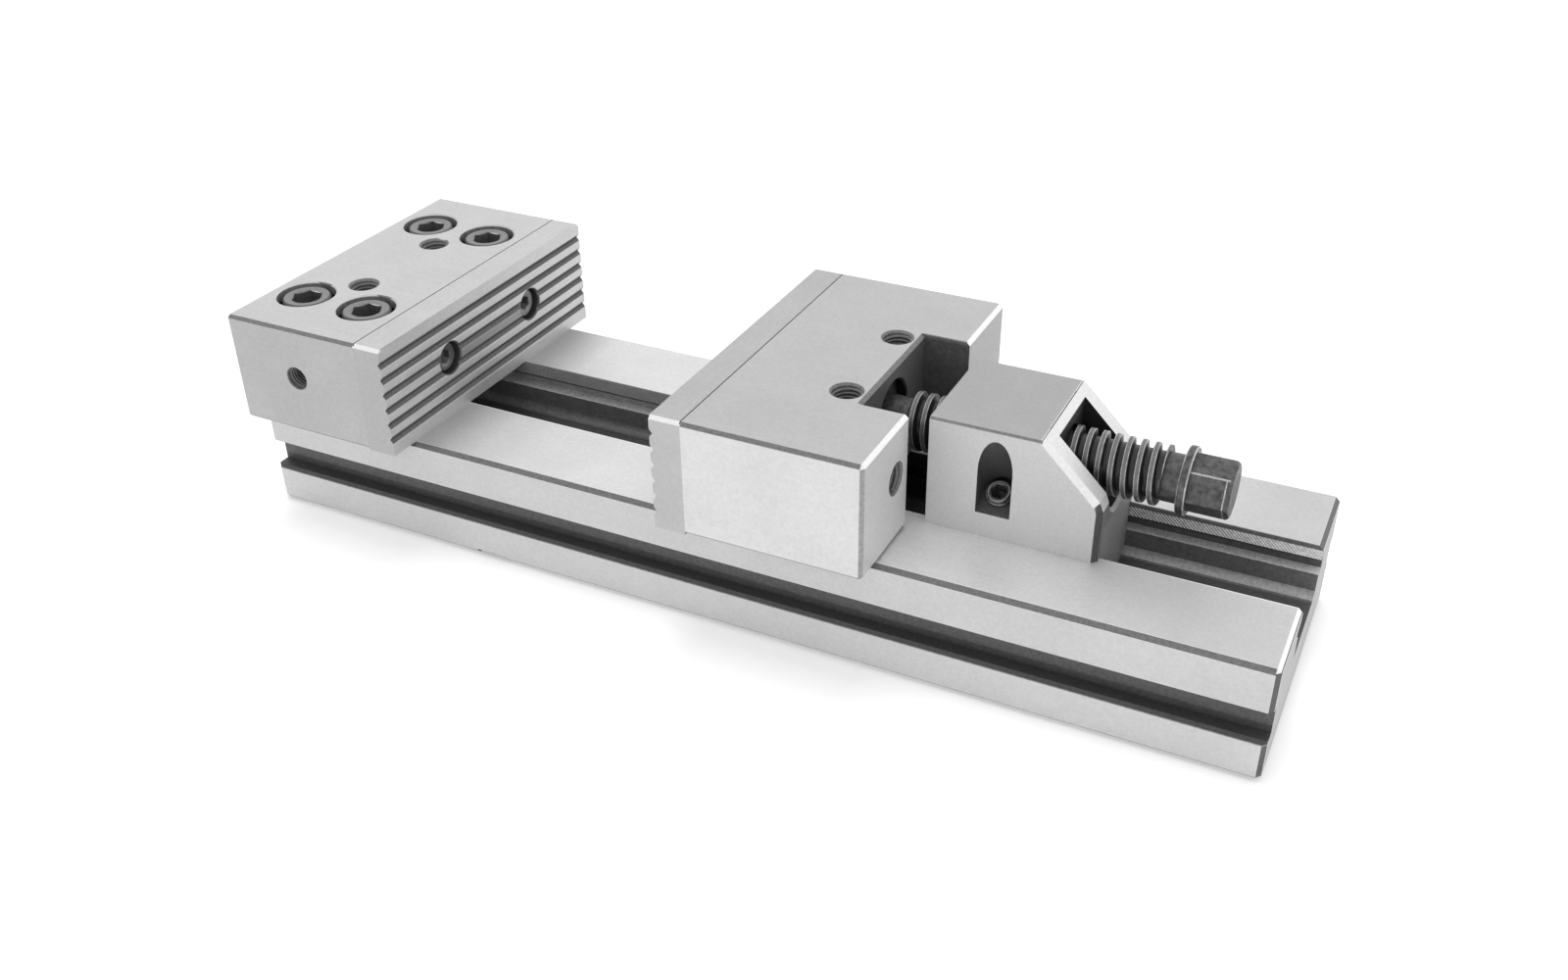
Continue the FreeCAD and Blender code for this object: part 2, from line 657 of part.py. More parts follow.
def screw_head():
    """Relief neck, collar and hexagon, along +Z from the end of the thread."""
    neck = NECK_DIAMETER / 2
    collar = COLLAR_DIAMETER / 2
    collar_end = NECK_LENGTH + COLLAR_THICKNESS
    profile = [(neck, 0), (neck, NECK_LENGTH), (collar - EDGE_BREAK, NECK_LENGTH)]
    profile += [(collar, NECK_LENGTH + EDGE_BREAK), (collar, collar_end - EDGE_BREAK)]
    profile += [(collar - EDGE_BREAK, collar_end)]
    key = hex_bar(SCREW_HEX_ACROSS_FLATS, SCREW_HEX_LENGTH, SCREW_HEX_TURN)
    corner = SCREW_HEX_ACROSS_FLATS / math.sqrt(3)
    blunt = [(corner, 0), (corner, SCREW_HEX_LENGTH - 2 * EDGE_BREAK)]
    blunt += [(corner - 2 * EDGE_BREAK, SCREW_HEX_LENGTH)]
    key = key.common(turned(blunt, at(0, 0, 0), UP))
    key.translate(at(0, 0, collar_end))
    return turned(profile, at(0, 0, 0), UP).fuse(key)


def lead_screw():
    """Journal, thread, relief neck, collar and hexagon, all cut from one bar."""
    head = screw_head()
    head.translate(at(0, 0, JOURNAL_LENGTH + THREAD_LENGTH))
    bar = threaded_bar().cut(journal_groove_tool())
    return placed(bar.fuse(head), at(screw_nose, 0, screw_level), RIGHT)


# Screw block


def window_frame(side):
    """Axis of a set screw: its point in the side face, the way down it, and the way outwards."""
    tilt = math.radians(WINDOW_TILT)
    mouth = at(window_x, side * BLOCK_WIDTH / 2, bed_top + WINDOW_AXIS_HEIGHT)
    down = at(0, -side * math.sin(tilt), -math.cos(tilt))
    outwards = at(0, side * math.cos(tilt), -math.sin(tilt))
    return mouth, down, outwards


def window_floor_distance():
    """Distance down the axis from the side face to the window's flat floor."""
    drop = WINDOW_AXIS_HEIGHT - WINDOW_FLOOR_HEIGHT
    return drop * math.cos(math.radians(WINDOW_TILT))


def set_screw_tip_distance():
    """Distance down the axis at which the screw's flat point touches the top of the anchor pin."""
    tilt = math.radians(WINDOW_TILT)
    pin_top = anchor_pin_level() + ANCHOR_PIN_DIAMETER / 2
    drop = bed_top + WINDOW_AXIS_HEIGHT - pin_top
    return (drop - SET_SCREW_POINT_DIAMETER / 2 * math.sin(tilt)) / math.cos(tilt)


def window_tool(side):
    """A window milled along the tilted axis: round at its inner end and open at the side face."""
    mouth, down, outwards = window_frame(side)
    radius = WINDOW_WIDTH / 2
    floor = mouth + down * window_floor_distance()
    reach = outwards * (BLOCK_WIDTH / 2)
    right = at(radius, 0, 0)
    edges = [
        Part.LineSegment(floor + reach - right, floor - right).toShape(),
        Part.Arc(floor - right, floor - outwards * radius, floor + right).toShape(),
        Part.LineSegment(floor + right, floor + reach + right).toShape(),
        Part.LineSegment(floor + reach + right, floor + reach - right).toShape(),
    ]
    return Part.Face(Part.Wire(edges)).extrude(down * -BLOCK_HEIGHT)


def set_screw_hole_tool(side):
    mouth, down, outwards = window_frame(side)
    start = mouth + down * (window_floor_distance() - TOOL_OVERRUN)
    end = mouth + down * set_screw_tip_distance()
    return rod(SET_SCREW_THREAD / 2 + THREAD_CLEARANCE, start, end)


def anchor_pin_level():
    return undercut_top - ANCHOR_CLEARANCE - ANCHOR_PIN_DIAMETER / 2


def anchor_pin_half_length():
    return CHANNEL_WIDTH / 2 + UNDERCUT_DEPTH - ANCHOR_CLEARANCE


def block_body():
    """The part above the bed: a nut housing with a sloped rear end and broken edges."""
    side = BLOCK_WIDTH / 2
    top = bed_top + BLOCK_HEIGHT
    slope_start = block_right - BLOCK_SLOPE
    slope_end = top - BLOCK_SLOPE
    steps = [(block_left, slide_level), (block_right, slide_level), (block_right, slope_end)]
    steps += [(slope_start, top), (block_left, top)]
    body = prism_y(-side, side, steps)
    rear = [e for e in body.Edges if is_side_edge(e, side) and lowest_x(e) > slope_start - EDGE_BREAK
            and highest_z(e) > slide_level + EDGE_BREAK]
    body = body.makeChamfer(BLOCK_CORNER_CHAMFER, rear)
    cut = BLOCK_TOP_CHAMFER
    outline = [(-side, slide_level), (side, slide_level), (side, top - cut), (side - cut, top)]
    outline += [(cut - side, top), (-side, top - cut)]
    return body.common(prism_x(block_left, block_right, outline))


def is_side_edge(edge, side):
    return all(abs(abs(v.Y) - side) < Part.Precision.confusion() for v in edge.Vertexes)


def lowest_x(edge):
    return min(v.X for v in edge.Vertexes)


def highest_z(edge):
    return max(v.Z for v in edge.Vertexes)


def keel():
    """The tongue that guides the block in the channel, rounded so that it can rock."""
    half = CHANNEL_WIDTH / 2 - GUIDE_CLEARANCE
    bottom = bed_top - KEEL_DEPTH
    radius = KEEL_CORNER_RADIUS
    inset = radius * (1 - math.sqrt(0.5))
    shoulder = bottom + radius
    flat = half - radius
    steps = [(-half, slide_level), (-half, shoulder), ((inset - half, bottom + inset), (-flat, bottom))]
    steps += [(flat, bottom), ((half - inset, bottom + inset), (half, shoulder))]
    steps += [(half, slide_level)]
    return prism_x(block_left, block_right, steps)


def block_pocket_tool():
    """The slot behind the nut that clears the screw and its collar, round at the bottom."""
    radius = BLOCK_POCKET_RADIUS
    top = bed_top + BLOCK_HEIGHT + TOOL_OVERRUN
    steps = [(-radius, top), (-radius, screw_level)]
    steps += [((0, screw_level - radius), (radius, screw_level)), (radius, top)]
    return prism_x(nut_end, block_right + TOOL_OVERRUN, steps)


def block_pocket_chamfer_tool():
    """Breaks the rim of the slot's round bottom at the block's rear face."""
    inner = BLOCK_POCKET_RADIUS
    outer = inner + BLOCK_POCKET_CHAMFER
    profile = [(inner, -BLOCK_POCKET_CHAMFER), (outer, 0), (outer, TOOL_OVERRUN)]
    return turned(profile, at(block_right, 0, screw_level), RIGHT)


def screw_block():
    tools = [block_pocket_tool(), block_pocket_chamfer_tool()]
    nut_start = at(block_left - TOOL_OVERRUN, 0, screw_level)
    tools.append(rod(nut_radius, nut_start, at(nut_end + TOOL_OVERRUN, 0, screw_level)))
    reach = CHANNEL_WIDTH
    pin_radius = ANCHOR_PIN_DIAMETER / 2 + PIN_HOLE_CLEARANCE
    level = anchor_pin_level()
    tools.append(rod(pin_radius, at(window_x, -reach, level), at(window_x, reach, level)))
    for side in SIDES.values():
        tools.append(window_tool(side))
        tools.append(set_screw_hole_tool(side))
    return block_body().fuse(keel()).removeSplitter().cut(tools)


def anchor_pin():
    half = anchor_pin_half_length()
    start = at(window_x, -half, anchor_pin_level())
    return dowel(ANCHOR_PIN_DIAMETER, 2 * half, start, at(0, 1, 0))


def anchor_set_screw(side):
    """A socket set screw with a flat point. Distances run up its axis from the point."""
    mouth, down, outwards = window_frame(side)
    tip = set_screw_tip_distance()
    length = tip - window_floor_distance() + SET_SCREW_PROUD
    radius = SET_SCREW_THREAD / 2
    point = SET_SCREW_POINT_DIAMETER / 2
    profile = [(point, 0), (radius, radius - point), (radius, length - EDGE_BREAK)]
    profile += [(radius - EDGE_BREAK, length)]
    body = turned(profile, at(0, 0, 0), UP)
    socket = hex_bar(SET_SCREW_KEY, SET_SCREW_KEY_DEPTH + TOOL_OVERRUN)
    socket.translate(at(0, 0, length - SET_SCREW_KEY_DEPTH))
    return placed(body.cut(socket), mouth + down * tip, down * -1)


def build_parts():
    parts = {"base_rail": base_rail(), "fixed_jaw": fixed_jaw(), "movable_jaw": movable_jaw()}
    parts["fixed_jaw_plate"] = jaw_plate(fixed_plate_face, 1, bed_top)
    parts["movable_jaw_plate"] = jaw_plate(movable_plate_face, -1, slide_level)
    for i, screw in enumerate(plate_screws(fixed_plate_face, 1), 1):
        parts[f"fixed_plate_screw_{i}"] = screw
    for i, screw in enumerate(plate_screws(movable_plate_face, -1), 1):
        parts[f"movable_plate_screw_{i}"] = screw
    for i, (x, y) in enumerate(jaw_screw_places(), 1):
        parts[f"fixed_jaw_screw_{i}"] = socket_screw(JAW_SCREW_THREAD, JAW_SCREW_HEAD, JAW_SCREW_KEY,
                                                     JAW_SCREW_LENGTH, at(x, y, jaw_screw_seat()), UP)
    for i, (x, y) in enumerate(dowel_places(), 1):
        start = at(x, y, bed_top - DOWEL_LENGTH / 2)
        parts[f"fixed_jaw_dowel_{i}"] = dowel(DOWEL_DIAMETER, DOWEL_LENGTH, start, UP)
    parts["hold_down_bar"] = hold_down_bar()
    for i, x in enumerate(hold_screw_places(), 1):
        parts[f"hold_down_screw_{i}"] = socket_screw(HOLD_SCREW_THREAD, HOLD_SCREW_HEAD,
                                                     HOLD_SCREW_KEY, HOLD_SCREW_LENGTH,
                                                     at(x, 0, hold_screw_seat()), DOWN)
    parts["thrust_pad"] = thrust_pad()
    parts["lead_screw"] = lead_screw()
    parts["screw_block"] = screw_block()
    parts["anchor_pin"] = anchor_pin()
    for name, side in SIDES.items():
        parts[f"screw_retaining_pin_{name}"] = retaining_pin(side)
        parts[f"anchor_set_screw_{name}"] = anchor_set_screw(side)
    return parts


os.makedirs("parts", exist_ok=True)
for name, shape in build_parts().items():
    shape.exportStep(f"parts/{name}.step")
    solids = len(shape.Solids)
    print(f"{name:26s} solids {solids} valid {shape.isValid()} volume {shape.Volume:12.1f}")
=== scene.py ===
import math

import bmesh
import bpy
from mathutils import Euler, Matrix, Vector


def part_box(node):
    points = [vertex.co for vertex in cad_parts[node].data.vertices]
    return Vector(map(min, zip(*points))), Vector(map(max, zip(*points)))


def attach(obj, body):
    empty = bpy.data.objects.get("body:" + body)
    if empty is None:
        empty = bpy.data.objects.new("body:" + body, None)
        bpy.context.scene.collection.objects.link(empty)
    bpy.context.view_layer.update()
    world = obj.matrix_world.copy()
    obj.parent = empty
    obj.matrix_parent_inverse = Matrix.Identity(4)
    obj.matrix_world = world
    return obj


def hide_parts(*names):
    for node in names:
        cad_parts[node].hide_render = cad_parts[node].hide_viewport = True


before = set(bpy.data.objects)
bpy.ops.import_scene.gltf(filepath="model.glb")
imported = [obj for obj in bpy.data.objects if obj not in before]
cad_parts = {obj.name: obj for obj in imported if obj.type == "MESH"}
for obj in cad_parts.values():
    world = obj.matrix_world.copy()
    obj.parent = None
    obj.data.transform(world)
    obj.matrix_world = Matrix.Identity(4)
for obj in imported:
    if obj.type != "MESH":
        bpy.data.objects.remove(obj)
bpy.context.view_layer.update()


# The bed: one bar of tool steel, milled, hardened and blackened, then surface ground.
# Only its outer faces are ground bright. The guide channel, the clamp grooves and the broken
# edges keep the dark skin of the hardening. In the channel and the grooves that skin is coloured
# with painted light and shade as well.

# All sizes are in millimetres, and MM turns them into the frame's metres.
MM = 0.001
BED_HALF_LENGTH = 225.0
BED_HALF_WIDTH = 62.5
BED_TOP = 50.0


def linear(colour):
    """The linear colour that a shader takes, from an sRGB hex value."""
    channels = [int(colour[i:i + 2], 16) / 255 for i in (1, 3, 5)]
    return [c / 12.92 if c <= 0.04045 else ((c + 0.055) / 1.055) ** 2.4 for c in channels] + [1]


def add(tree, kind, inputs, out=0, **settings):
    """Adds a node with its settings, values and links, and returns one of its outputs."""
    node = tree.nodes.new(kind)
    for name, value in settings.items():
        setattr(node, name, value)
    for socket, value in inputs.items():
        if isinstance(value, bpy.types.NodeSocket):
            tree.links.new(value, node.inputs[socket])
        else:
            node.inputs[socket].default_value = value
    return node.outputs[out] if len(node.outputs) else node


def new_material(name):
    """An empty material, with the object's coordinates in millimetres and its normal."""
    material = bpy.data.materials.new(name)
    material.use_nodes = True
    tree = material.node_tree
    tree.nodes.clear()
    source = add(tree, "ShaderNodeTexCoord", {}).node
    spot = add(tree, "ShaderNodeVectorMath", {0: source.outputs["Object"], "Scale": 1 / MM},
               operation="SCALE")
    place = {"spot": spot}
    for prefix, vector in (("", spot), ("n", source.outputs["Normal"])):
        parts = add(tree, "ShaderNodeSeparateXYZ", {0: vector}).node
        for i, axis in enumerate("xyz"):
            place[prefix + axis] = parts.outputs[i]
            place[prefix + axis + "_size"] = add(tree, "ShaderNodeMath", {0: parts.outputs[i]},
                                                 operation="ABSOLUTE")
    return material, tree, place


def zone(tree, place, *zones):
    """1 inside any of the zones, 0 elsewhere. A zone gives limits to some of the coordinates."""
    whole = None
    for limits in zones:
        mask = None
        for axis, (low, high) in limits.items():
            inputs = {0: place[axis], 1: (low + high) / 2, 2: (high - low) / 2}
            inside = add(tree, "ShaderNodeMath", inputs, operation="COMPARE")
            mask = inside if mask is None else add(tree, "ShaderNodeMath", {0: mask, 1: inside},
                                                   operation="MULTIPLY")
        whole = mask if whole is None else add(tree, "ShaderNodeMath", {0: whole, 1: mask},
                                               operation="MAXIMUM")
    return whole


def coated(tree, colour, coats):
    """A colour with each coat laid over it where that coat's mask is 1."""
    colour = linear(colour) if isinstance(colour, str) else colour
    for mask, coat in coats:
        coat = linear(coat) if isinstance(coat, str) else coat
        colour = add(tree, "ShaderNodeMix", {0: mask, 6: colour, 7: coat}, out=2, data_type="RGBA")
    return colour


def grain(tree, place, sizes, detail=3):
    """Noise whose grain has these sizes along X, Y and Z, in millimetres."""
    scaled = add(tree, "ShaderNodeVectorMath", {0: place["spot"], 1: [1 / s for s in sizes]},
                 operation="MULTIPLY")
    return add(tree, "ShaderNodeTexNoise", {"Vector": scaled, "Scale": 1.0, "Detail": detail})


# The grain of the finish, and the range that most of a noise's values lie in.
SPECK = 1.4
CLOUD = 28.0
ALONG = (30, 0.9, 0.9)
NOISE_LOW, NOISE_HIGH = 0.3, 0.7


def ground_steel(name, ground_zones, dim, bright, painted_light_and_tints, skin, skin_and_painted_light, wheel=ALONG, painted_shade_ramps=(),
                 patterns=()):
    """Tool steel with a dark skin, ground bright in some zones.

    A ground face scatters the light so widely that it looks pale and even, with hardly a
    reflection. The skin is an oxide, grey and mottled. The wheel leaves fine lines along the
    bed. They are drawn about 1 mm apart, because real ones would not show.

    The tints colour zones of the ground faces, most of them with painted light and shade by the
    way that a face faces. The skin zones colour the skin, many of them with painted light and
    shade. The fades paint shade on the faces along X, and patterns are masks of their own, laid
    over the skin.
    """
    material, tree, place = new_material(name)
    ground = zone(tree, place, *ground_zones)
    lines = grain(tree, place, wheel)
    specks = grain(tree, place, (SPECK, SPECK, SPECK), detail=4)
    clouds = grain(tree, place, (CLOUD, CLOUD, CLOUD), detail=2)

    # The skin, from its general colour to its zones and patterns of painted light and shade.
    dark = coated(tree, skin, [(zone(tree, place, limits), colour) for limits, colour in skin_and_painted_light])
    dark = coated(tree, dark, [(mask(tree, place), colour) for mask, colour in patterns])

    # The ground faces, with painted light and shade along X, by zone and by the way that they face.
    face = coated(tree, dim, [(lines, bright)])
    for limits, (start, end), colour in painted_shade_ramps:
        ramp = add(tree, "ShaderNodeMapRange", {0: place["x"], 1: start, 2: end})
        ramp = add(tree, "ShaderNodeMath", {0: ramp, 1: zone(tree, place, limits)},
                   operation="MULTIPLY")
        face = coated(tree, face, [(ramp, colour)])
    face = coated(tree, face, [(zone(tree, place, limits), colour) for limits, colour in painted_light_and_tints])

    # Specks and clouds in both, and more of them in the skin.
    speckle = add(tree, "ShaderNodeMapRange",
                  {0: specks, 1: NOISE_LOW, 2: NOISE_HIGH, 3: 0.95, 4: 1.04})
    cloud = add(tree, "ShaderNodeMapRange",
                {0: clouds, 1: NOISE_LOW, 2: NOISE_HIGH, 3: 0.97, 4: 1.03})
    mottle = add(tree, "ShaderNodeMapRange",
                 {0: specks, 1: NOISE_LOW, 2: NOISE_HIGH, 3: 0.78, 4: 1.22})
    speckle = add(tree, "ShaderNodeMix", {0: ground, 2: mottle, 3: speckle})
    shade = add(tree, "ShaderNodeMath", {0: speckle, 1: cloud}, operation="MULTIPLY")
    colour = coated(tree, dark, [(ground, face)])
    colour = add(tree, "ShaderNodeVectorMath", {0: colour, "Scale": shade}, operation="SCALE")

    # The skin is a little glossier than the ground face, and hardly metallic.
    line_rough = add(tree, "ShaderNodeMapRange",
                     {0: lines, 1: NOISE_LOW, 2: NOISE_HIGH, 3: 0.5, 4: 0.58})
    skin_rough = add(tree, "ShaderNodeMapRange",
                     {0: specks, 1: NOISE_LOW, 2: NOISE_HIGH, 3: 0.42, 4: 0.54})
    rough = add(tree, "ShaderNodeMix", {0: ground, 2: skin_rough, 3: line_rough})
    metal = add(tree, "ShaderNodeMix", {0: ground, 2: 0.05, 3: 0.55})
    height = add(tree, "ShaderNodeMix", {0: ground, 2: specks, 3: lines})
    bump = add(tree, "ShaderNodeBump", {"Strength": 0.15, "Distance": 0.00001, "Height": height})
    shader = add(tree, "ShaderNodeBsdfPrincipled", {"Base Color": colour, "Metallic": metal,
                                                    "Roughness": rough, "Normal": bump})
    add(tree, "ShaderNodeOutputMaterial", {"Surface": shader})
    return material


def dress(node, material):
    """Gives a CAD node its finish."""
    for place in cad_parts[node].material_slots:
        place.material = material


# Faces by the way that they face, and how far a zone reaches past the face that it holds.
UP_AND_RIGHT = {"nx": (0.3, 1), "nz": (0.3, 1)}
FACING_UP = {"nz": (0.9, 1.1)}
SIDES = {"ny_size": (0.9, 1.1)}
ENDS = {"nx_size": (0.9, 1.1)}
FLAT = 0.12
MARGIN = 0.1

# The channel and its lips. Left of SLIDING_END it is seen between the jaws, right of it behind
# the block, and its zones are painted lighter or darker on each side, as light and shade.
CHANNEL_HALF_WIDTH = 21.8
CHANNEL_FLOOR = 25.6
FILLET_START = 18.3
FILLET_TOP = 29.1
UNDERCUT_FLOOR = 36.9
UNDERCUT_ROOF = 43.2
UNDERCUT_BACK = 27.2
LIP_SHADOW = 0.5
LIP_TOP = 49.6
LIP_LINE = 47.9
LIP_HIGHLIGHT = 0.9
SLIDING_END = 75.0

# The clamp groove, and the bands of painted light and shade at its foot.
GROOVE_BACK = 55.5
GROOVE_LOW = 18.0
GROOVE_HIGH = 31.5
GROOVE_CHAMFER = 1.3
GROOVE_SHADE = 3.2
GROOVE_HIGHLIGHT = 0.5
GROOVE_HIGHLIGHT_DEPTH = 2.5

# The chamfers of the ends and of the underside.
END_CHAMFER = 1.5
DARK_END = 223.02
DARK_FOOT = 3.0

left_half = (-BED_HALF_LENGTH, SLIDING_END)
right_half = (SLIDING_END, BED_HALF_LENGTH)

near_end_chamfer = dict(UP_AND_RIGHT, y=(-BED_HALF_WIDTH, -CHANNEL_HALF_WIDTH),
                        z=(BED_TOP - END_CHAMFER, BED_TOP))
# The strip along the near lip's edge is painted near white as a highlight.
near_lip_highlight = dict(FACING_UP, y=(-CHANNEL_HALF_WIDTH - LIP_HIGHLIGHT, -CHANNEL_HALF_WIDTH))
low_side = dict(SIDES, z=(0, GROOVE_LOW))

inside_groove = {"y_size": (GROOVE_BACK - 1, BED_HALF_WIDTH - 0.2),
                 "z": (GROOVE_LOW - MARGIN, GROOVE_HIGH + MARGIN)}
# The groove's foot is painted dark as shade, and a band on the chamfer below it light as a
# highlight.
groove_foot_shade = dict(inside_groove, z=(GROOVE_LOW - GROOVE_CHAMFER, GROOVE_LOW + GROOVE_SHADE))
groove_rim_highlight = {"y_size": (BED_HALF_WIDTH - GROOVE_HIGHLIGHT_DEPTH, BED_HALF_WIDTH - 0.05),
              "z": (GROOVE_LOW - GROOVE_CHAMFER - GROOVE_HIGHLIGHT, GROOVE_LOW - GROOVE_CHAMFER)}

inside_channel = {"y_size": (0, UNDERCUT_BACK + MARGIN),
                  "z": (CHANNEL_FLOOR - MARGIN, UNDERCUT_ROOF + MARGIN)}
whole_channel = dict(inside_channel, z=(CHANNEL_FLOOR - MARGIN, LIP_TOP))
channel_floor = {"y_size": (0, FILLET_START), "z": (CHANNEL_FLOOR - MARGIN, CHANNEL_FLOOR + 0.2)}
fillet = {"y_size": (FILLET_START, CHANNEL_HALF_WIDTH + MARGIN),
          "z": (CHANNEL_FLOOR + 0.2, FILLET_TOP)}
ledge = {"y_size": (CHANNEL_HALF_WIDTH, UNDERCUT_BACK),
         "z": (UNDERCUT_FLOOR - MARGIN, UNDERCUT_FLOOR + MARGIN)}
undercut_back = {"y_size": (UNDERCUT_BACK - MARGIN, UNDERCUT_BACK + MARGIN),
                 "z": (UNDERCUT_FLOOR, UNDERCUT_ROOF)}
lip_wall = {"y_size": (CHANNEL_HALF_WIDTH - MARGIN, CHANNEL_HALF_WIDTH + MARGIN),
            "z": (UNDERCUT_ROOF, LIP_TOP)}
# The line along the lip's lower edge is painted black as its shadow.
lip_edge_shadow = {"y_size": (CHANNEL_HALF_WIDTH - MARGIN, CHANNEL_HALF_WIDTH + LIP_SHADOW),
            "z": (UNDERCUT_ROOF - MARGIN, UNDERCUT_ROOF + LIP_SHADOW)}
scraped_walls = [dict(lip_wall, x=left_half, z=(UNDERCUT_ROOF + LIP_SHADOW, LIP_TOP)),
                 dict(lip_wall, x=right_half, z=(UNDERCUT_ROOF + LIP_SHADOW, LIP_LINE))]


# The scraped lines are about 1.1 mm apart on the real bed. Drawn so, they would blur away.
# A line is full where its wave is above HATCH_LINE, and gone below HATCH_GAP.
HATCH_PITCH = 1.5
HATCH_GAP, HATCH_LINE = -0.3, 0.4
ONE_WAY_START = 60.0
WHITE_WALL_START = 150.0
WHITE_WALL_MOST = 0.7


def scraped(tree, place):
    """The lips' inner faces are scraped, which leaves fine lines, crossed at the left."""
    waves = []
    for sign in (1, -1):
        slant = add(tree, "ShaderNodeMath", {0: place["z"], 1: sign, 2: place["x"]},
                    operation="MULTIPLY_ADD")
        turn = add(tree, "ShaderNodeMath", {0: slant, 1: math.tau / HATCH_PITCH},
                   operation="MULTIPLY")
        wave = add(tree, "ShaderNodeMath", {0: turn}, operation="SINE")
        waves.append(add(tree, "ShaderNodeMapRange", {0: wave, 1: HATCH_GAP, 2: HATCH_LINE}))
    one_way = zone(tree, place, {"x": (ONE_WAY_START, BED_HALF_LENGTH)})
    crossing = add(tree, "ShaderNodeMath", {0: one_way, 1: waves[1]}, operation="MAXIMUM")
    hatch = add(tree, "ShaderNodeMath", {0: waves[0], 1: crossing}, operation="MINIMUM")
    # Towards the right end the lines run together, so the wall turns whiter there.
    paled = add(tree, "ShaderNodeMapRange",
                 {0: place["x"], 1: WHITE_WALL_START, 2: BED_HALF_LENGTH, 4: WHITE_WALL_MOST})
    hatch = add(tree, "ShaderNodeMath", {0: hatch, 1: paled}, operation="MAXIMUM")
    return add(tree, "ShaderNodeMath", {0: hatch, 1: zone(tree, place, *scraped_walls)},
               operation="MULTIPLY", use_clamp=True)


CHANNEL_SHADE_MIDDLE = 47.5
CHANNEL_SHADE_FULL = 35.0
CHANNEL_SHADE_END = 65.0


def painted_channel_shade(tree, place):
    """Painted shade: below the movable jaw and the block the channel is coloured dark, thinning
    out.
    """
    away = add(tree, "ShaderNodeMath", {0: place["x"], 1: CHANNEL_SHADE_MIDDLE}, operation="SUBTRACT")
    away = add(tree, "ShaderNodeMath", {0: away}, operation="ABSOLUTE")
    amount = add(tree, "ShaderNodeMapRange", {0: away, 1: CHANNEL_SHADE_END, 2: CHANNEL_SHADE_FULL})
    return add(tree, "ShaderNodeMath", {0: amount, 1: zone(tree, place, whole_channel)},
               operation="MULTIPLY")


bed_ground = [
    {"z": (BED_TOP - FLAT, BED_TOP + FLAT)},
    {"z": (-FLAT, FLAT)},
    {"y_size": (BED_HALF_WIDTH - FLAT, BED_HALF_WIDTH + FLAT)},
    {"x_size": (BED_HALF_LENGTH - FLAT, BED_HALF_LENGTH + FLAT)},
    near_end_chamfer,
]
# Painted light: the sides, the low sides and the ends are coloured by the way that they face, and
# the near end chamfer and the near lip's edge are painted highlights.
bed_painted_light = [(SIDES, "#D1D1D1"), (low_side, "#D4D4D4"), (ENDS, "#B4B4B4"),
             (near_end_chamfer, "#F4F4F4"), (near_lip_highlight, "#FAFAFA")]
# Painted light and shade over the real skin: a dark channel floor, a lighter fillet and a
# near-white ledge where light falls, a dark undercut back in the lip's shade, and the fillet,
# undercut back and lip wall coloured apart left and right of SLIDING_END.
bed_skin_and_painted_light = [
    ({"x_size": (DARK_END, BED_HALF_LENGTH)}, "#5A5A5A"),
    (inside_groove, "#5E5E5E"),
    (groove_foot_shade, "#4A4A4A"),
    (groove_rim_highlight, "#9A9A9A"),
    ({"z": (-MARGIN, DARK_FOOT)}, "#6A6A6A"),
    (inside_channel, "#707070"),
    (channel_floor, "#4C4C4C"),
    (fillet, "#787878"),
    (dict(fillet, x=right_half), "#B4B4B4"),
    (ledge, "#EEEEEE"),
    (undercut_back, "#5A5A5A"),
    (dict(undercut_back, x=left_half), "#B0B0B0"),
    (lip_wall, "#6C6C6C"),
    (dict(lip_wall, x=right_half, z=(UNDERCUT_ROOF, LIP_LINE)), "#7C7C7C"),
    (lip_edge_shadow, "#303030"),
]
# Painted shade: the top is coloured darker towards the right end, and darker towards the fixed
# jaw as a painted reflection of it.
RIGHT_PAINTED_SHADE = (110, 200)
LEFT_PAINTED_REFLECTION = (-112, -142)
bed_painted_shade_ramps = [(FACING_UP, RIGHT_PAINTED_SHADE, "#CCCCCC"), (FACING_UP, LEFT_PAINTED_REFLECTION, "#B4B4B4")]
material = ground_steel("tool_steel_ground_and_blackened_bed", bed_ground, "#E4E4E4", "#EEEEEE",
                        bed_painted_light, "#707070", bed_skin_and_painted_light, painted_shade_ramps=bed_painted_shade_ramps,
                        patterns=[(scraped, "#FFFFFF"), (painted_channel_shade, "#363636")])
dress("base_rail", material)


# The fixed jaw: a block of the same steel, held on the bed by four screws and two dowels.
# Its faces are ground, its edges and holes keep the dark skin. Its sides are painted darker as
# shade, and so is the deep part of each counterbore.

JAW_HALF_WIDTH = 75.0
JAW_TOP = 100.0
FIXED_JAW_LEFT = -222.9
FIXED_JAW_RIGHT = -154.4
COUNTERBORE_CHAMFER = 0.7
COUNTERBORE_LOW = 60.0
COUNTERBORE_SHADE = 95.5
COUNTERBORE_INNER = 31.6
COUNTERBORE_OUTER = 57.5


def box_faces(left, right):
    """The zones of a jaw's ground faces."""
    return [
        {"z": (JAW_TOP - FLAT, JAW_TOP + FLAT)},
        {"y_size": (JAW_HALF_WIDTH - FLAT, JAW_HALF_WIDTH + FLAT)},
        {"x": (left - FLAT, left + FLAT)},
        {"x": (right - FLAT, right + FLAT)},
        {"z": (BED_TOP - FLAT, BED_TOP + FLAT)},
    ]


counterbore_rims = {"nz": (0.5, 0.9), "z": (JAW_TOP - COUNTERBORE_CHAMFER, JAW_TOP),
                    "y_size": (COUNTERBORE_INNER, COUNTERBORE_OUTER)}
counterbore_walls = {"z": (COUNTERBORE_LOW, JAW_TOP - COUNTERBORE_CHAMFER),
                     "y_size": (COUNTERBORE_INNER, COUNTERBORE_OUTER + 0.5)}
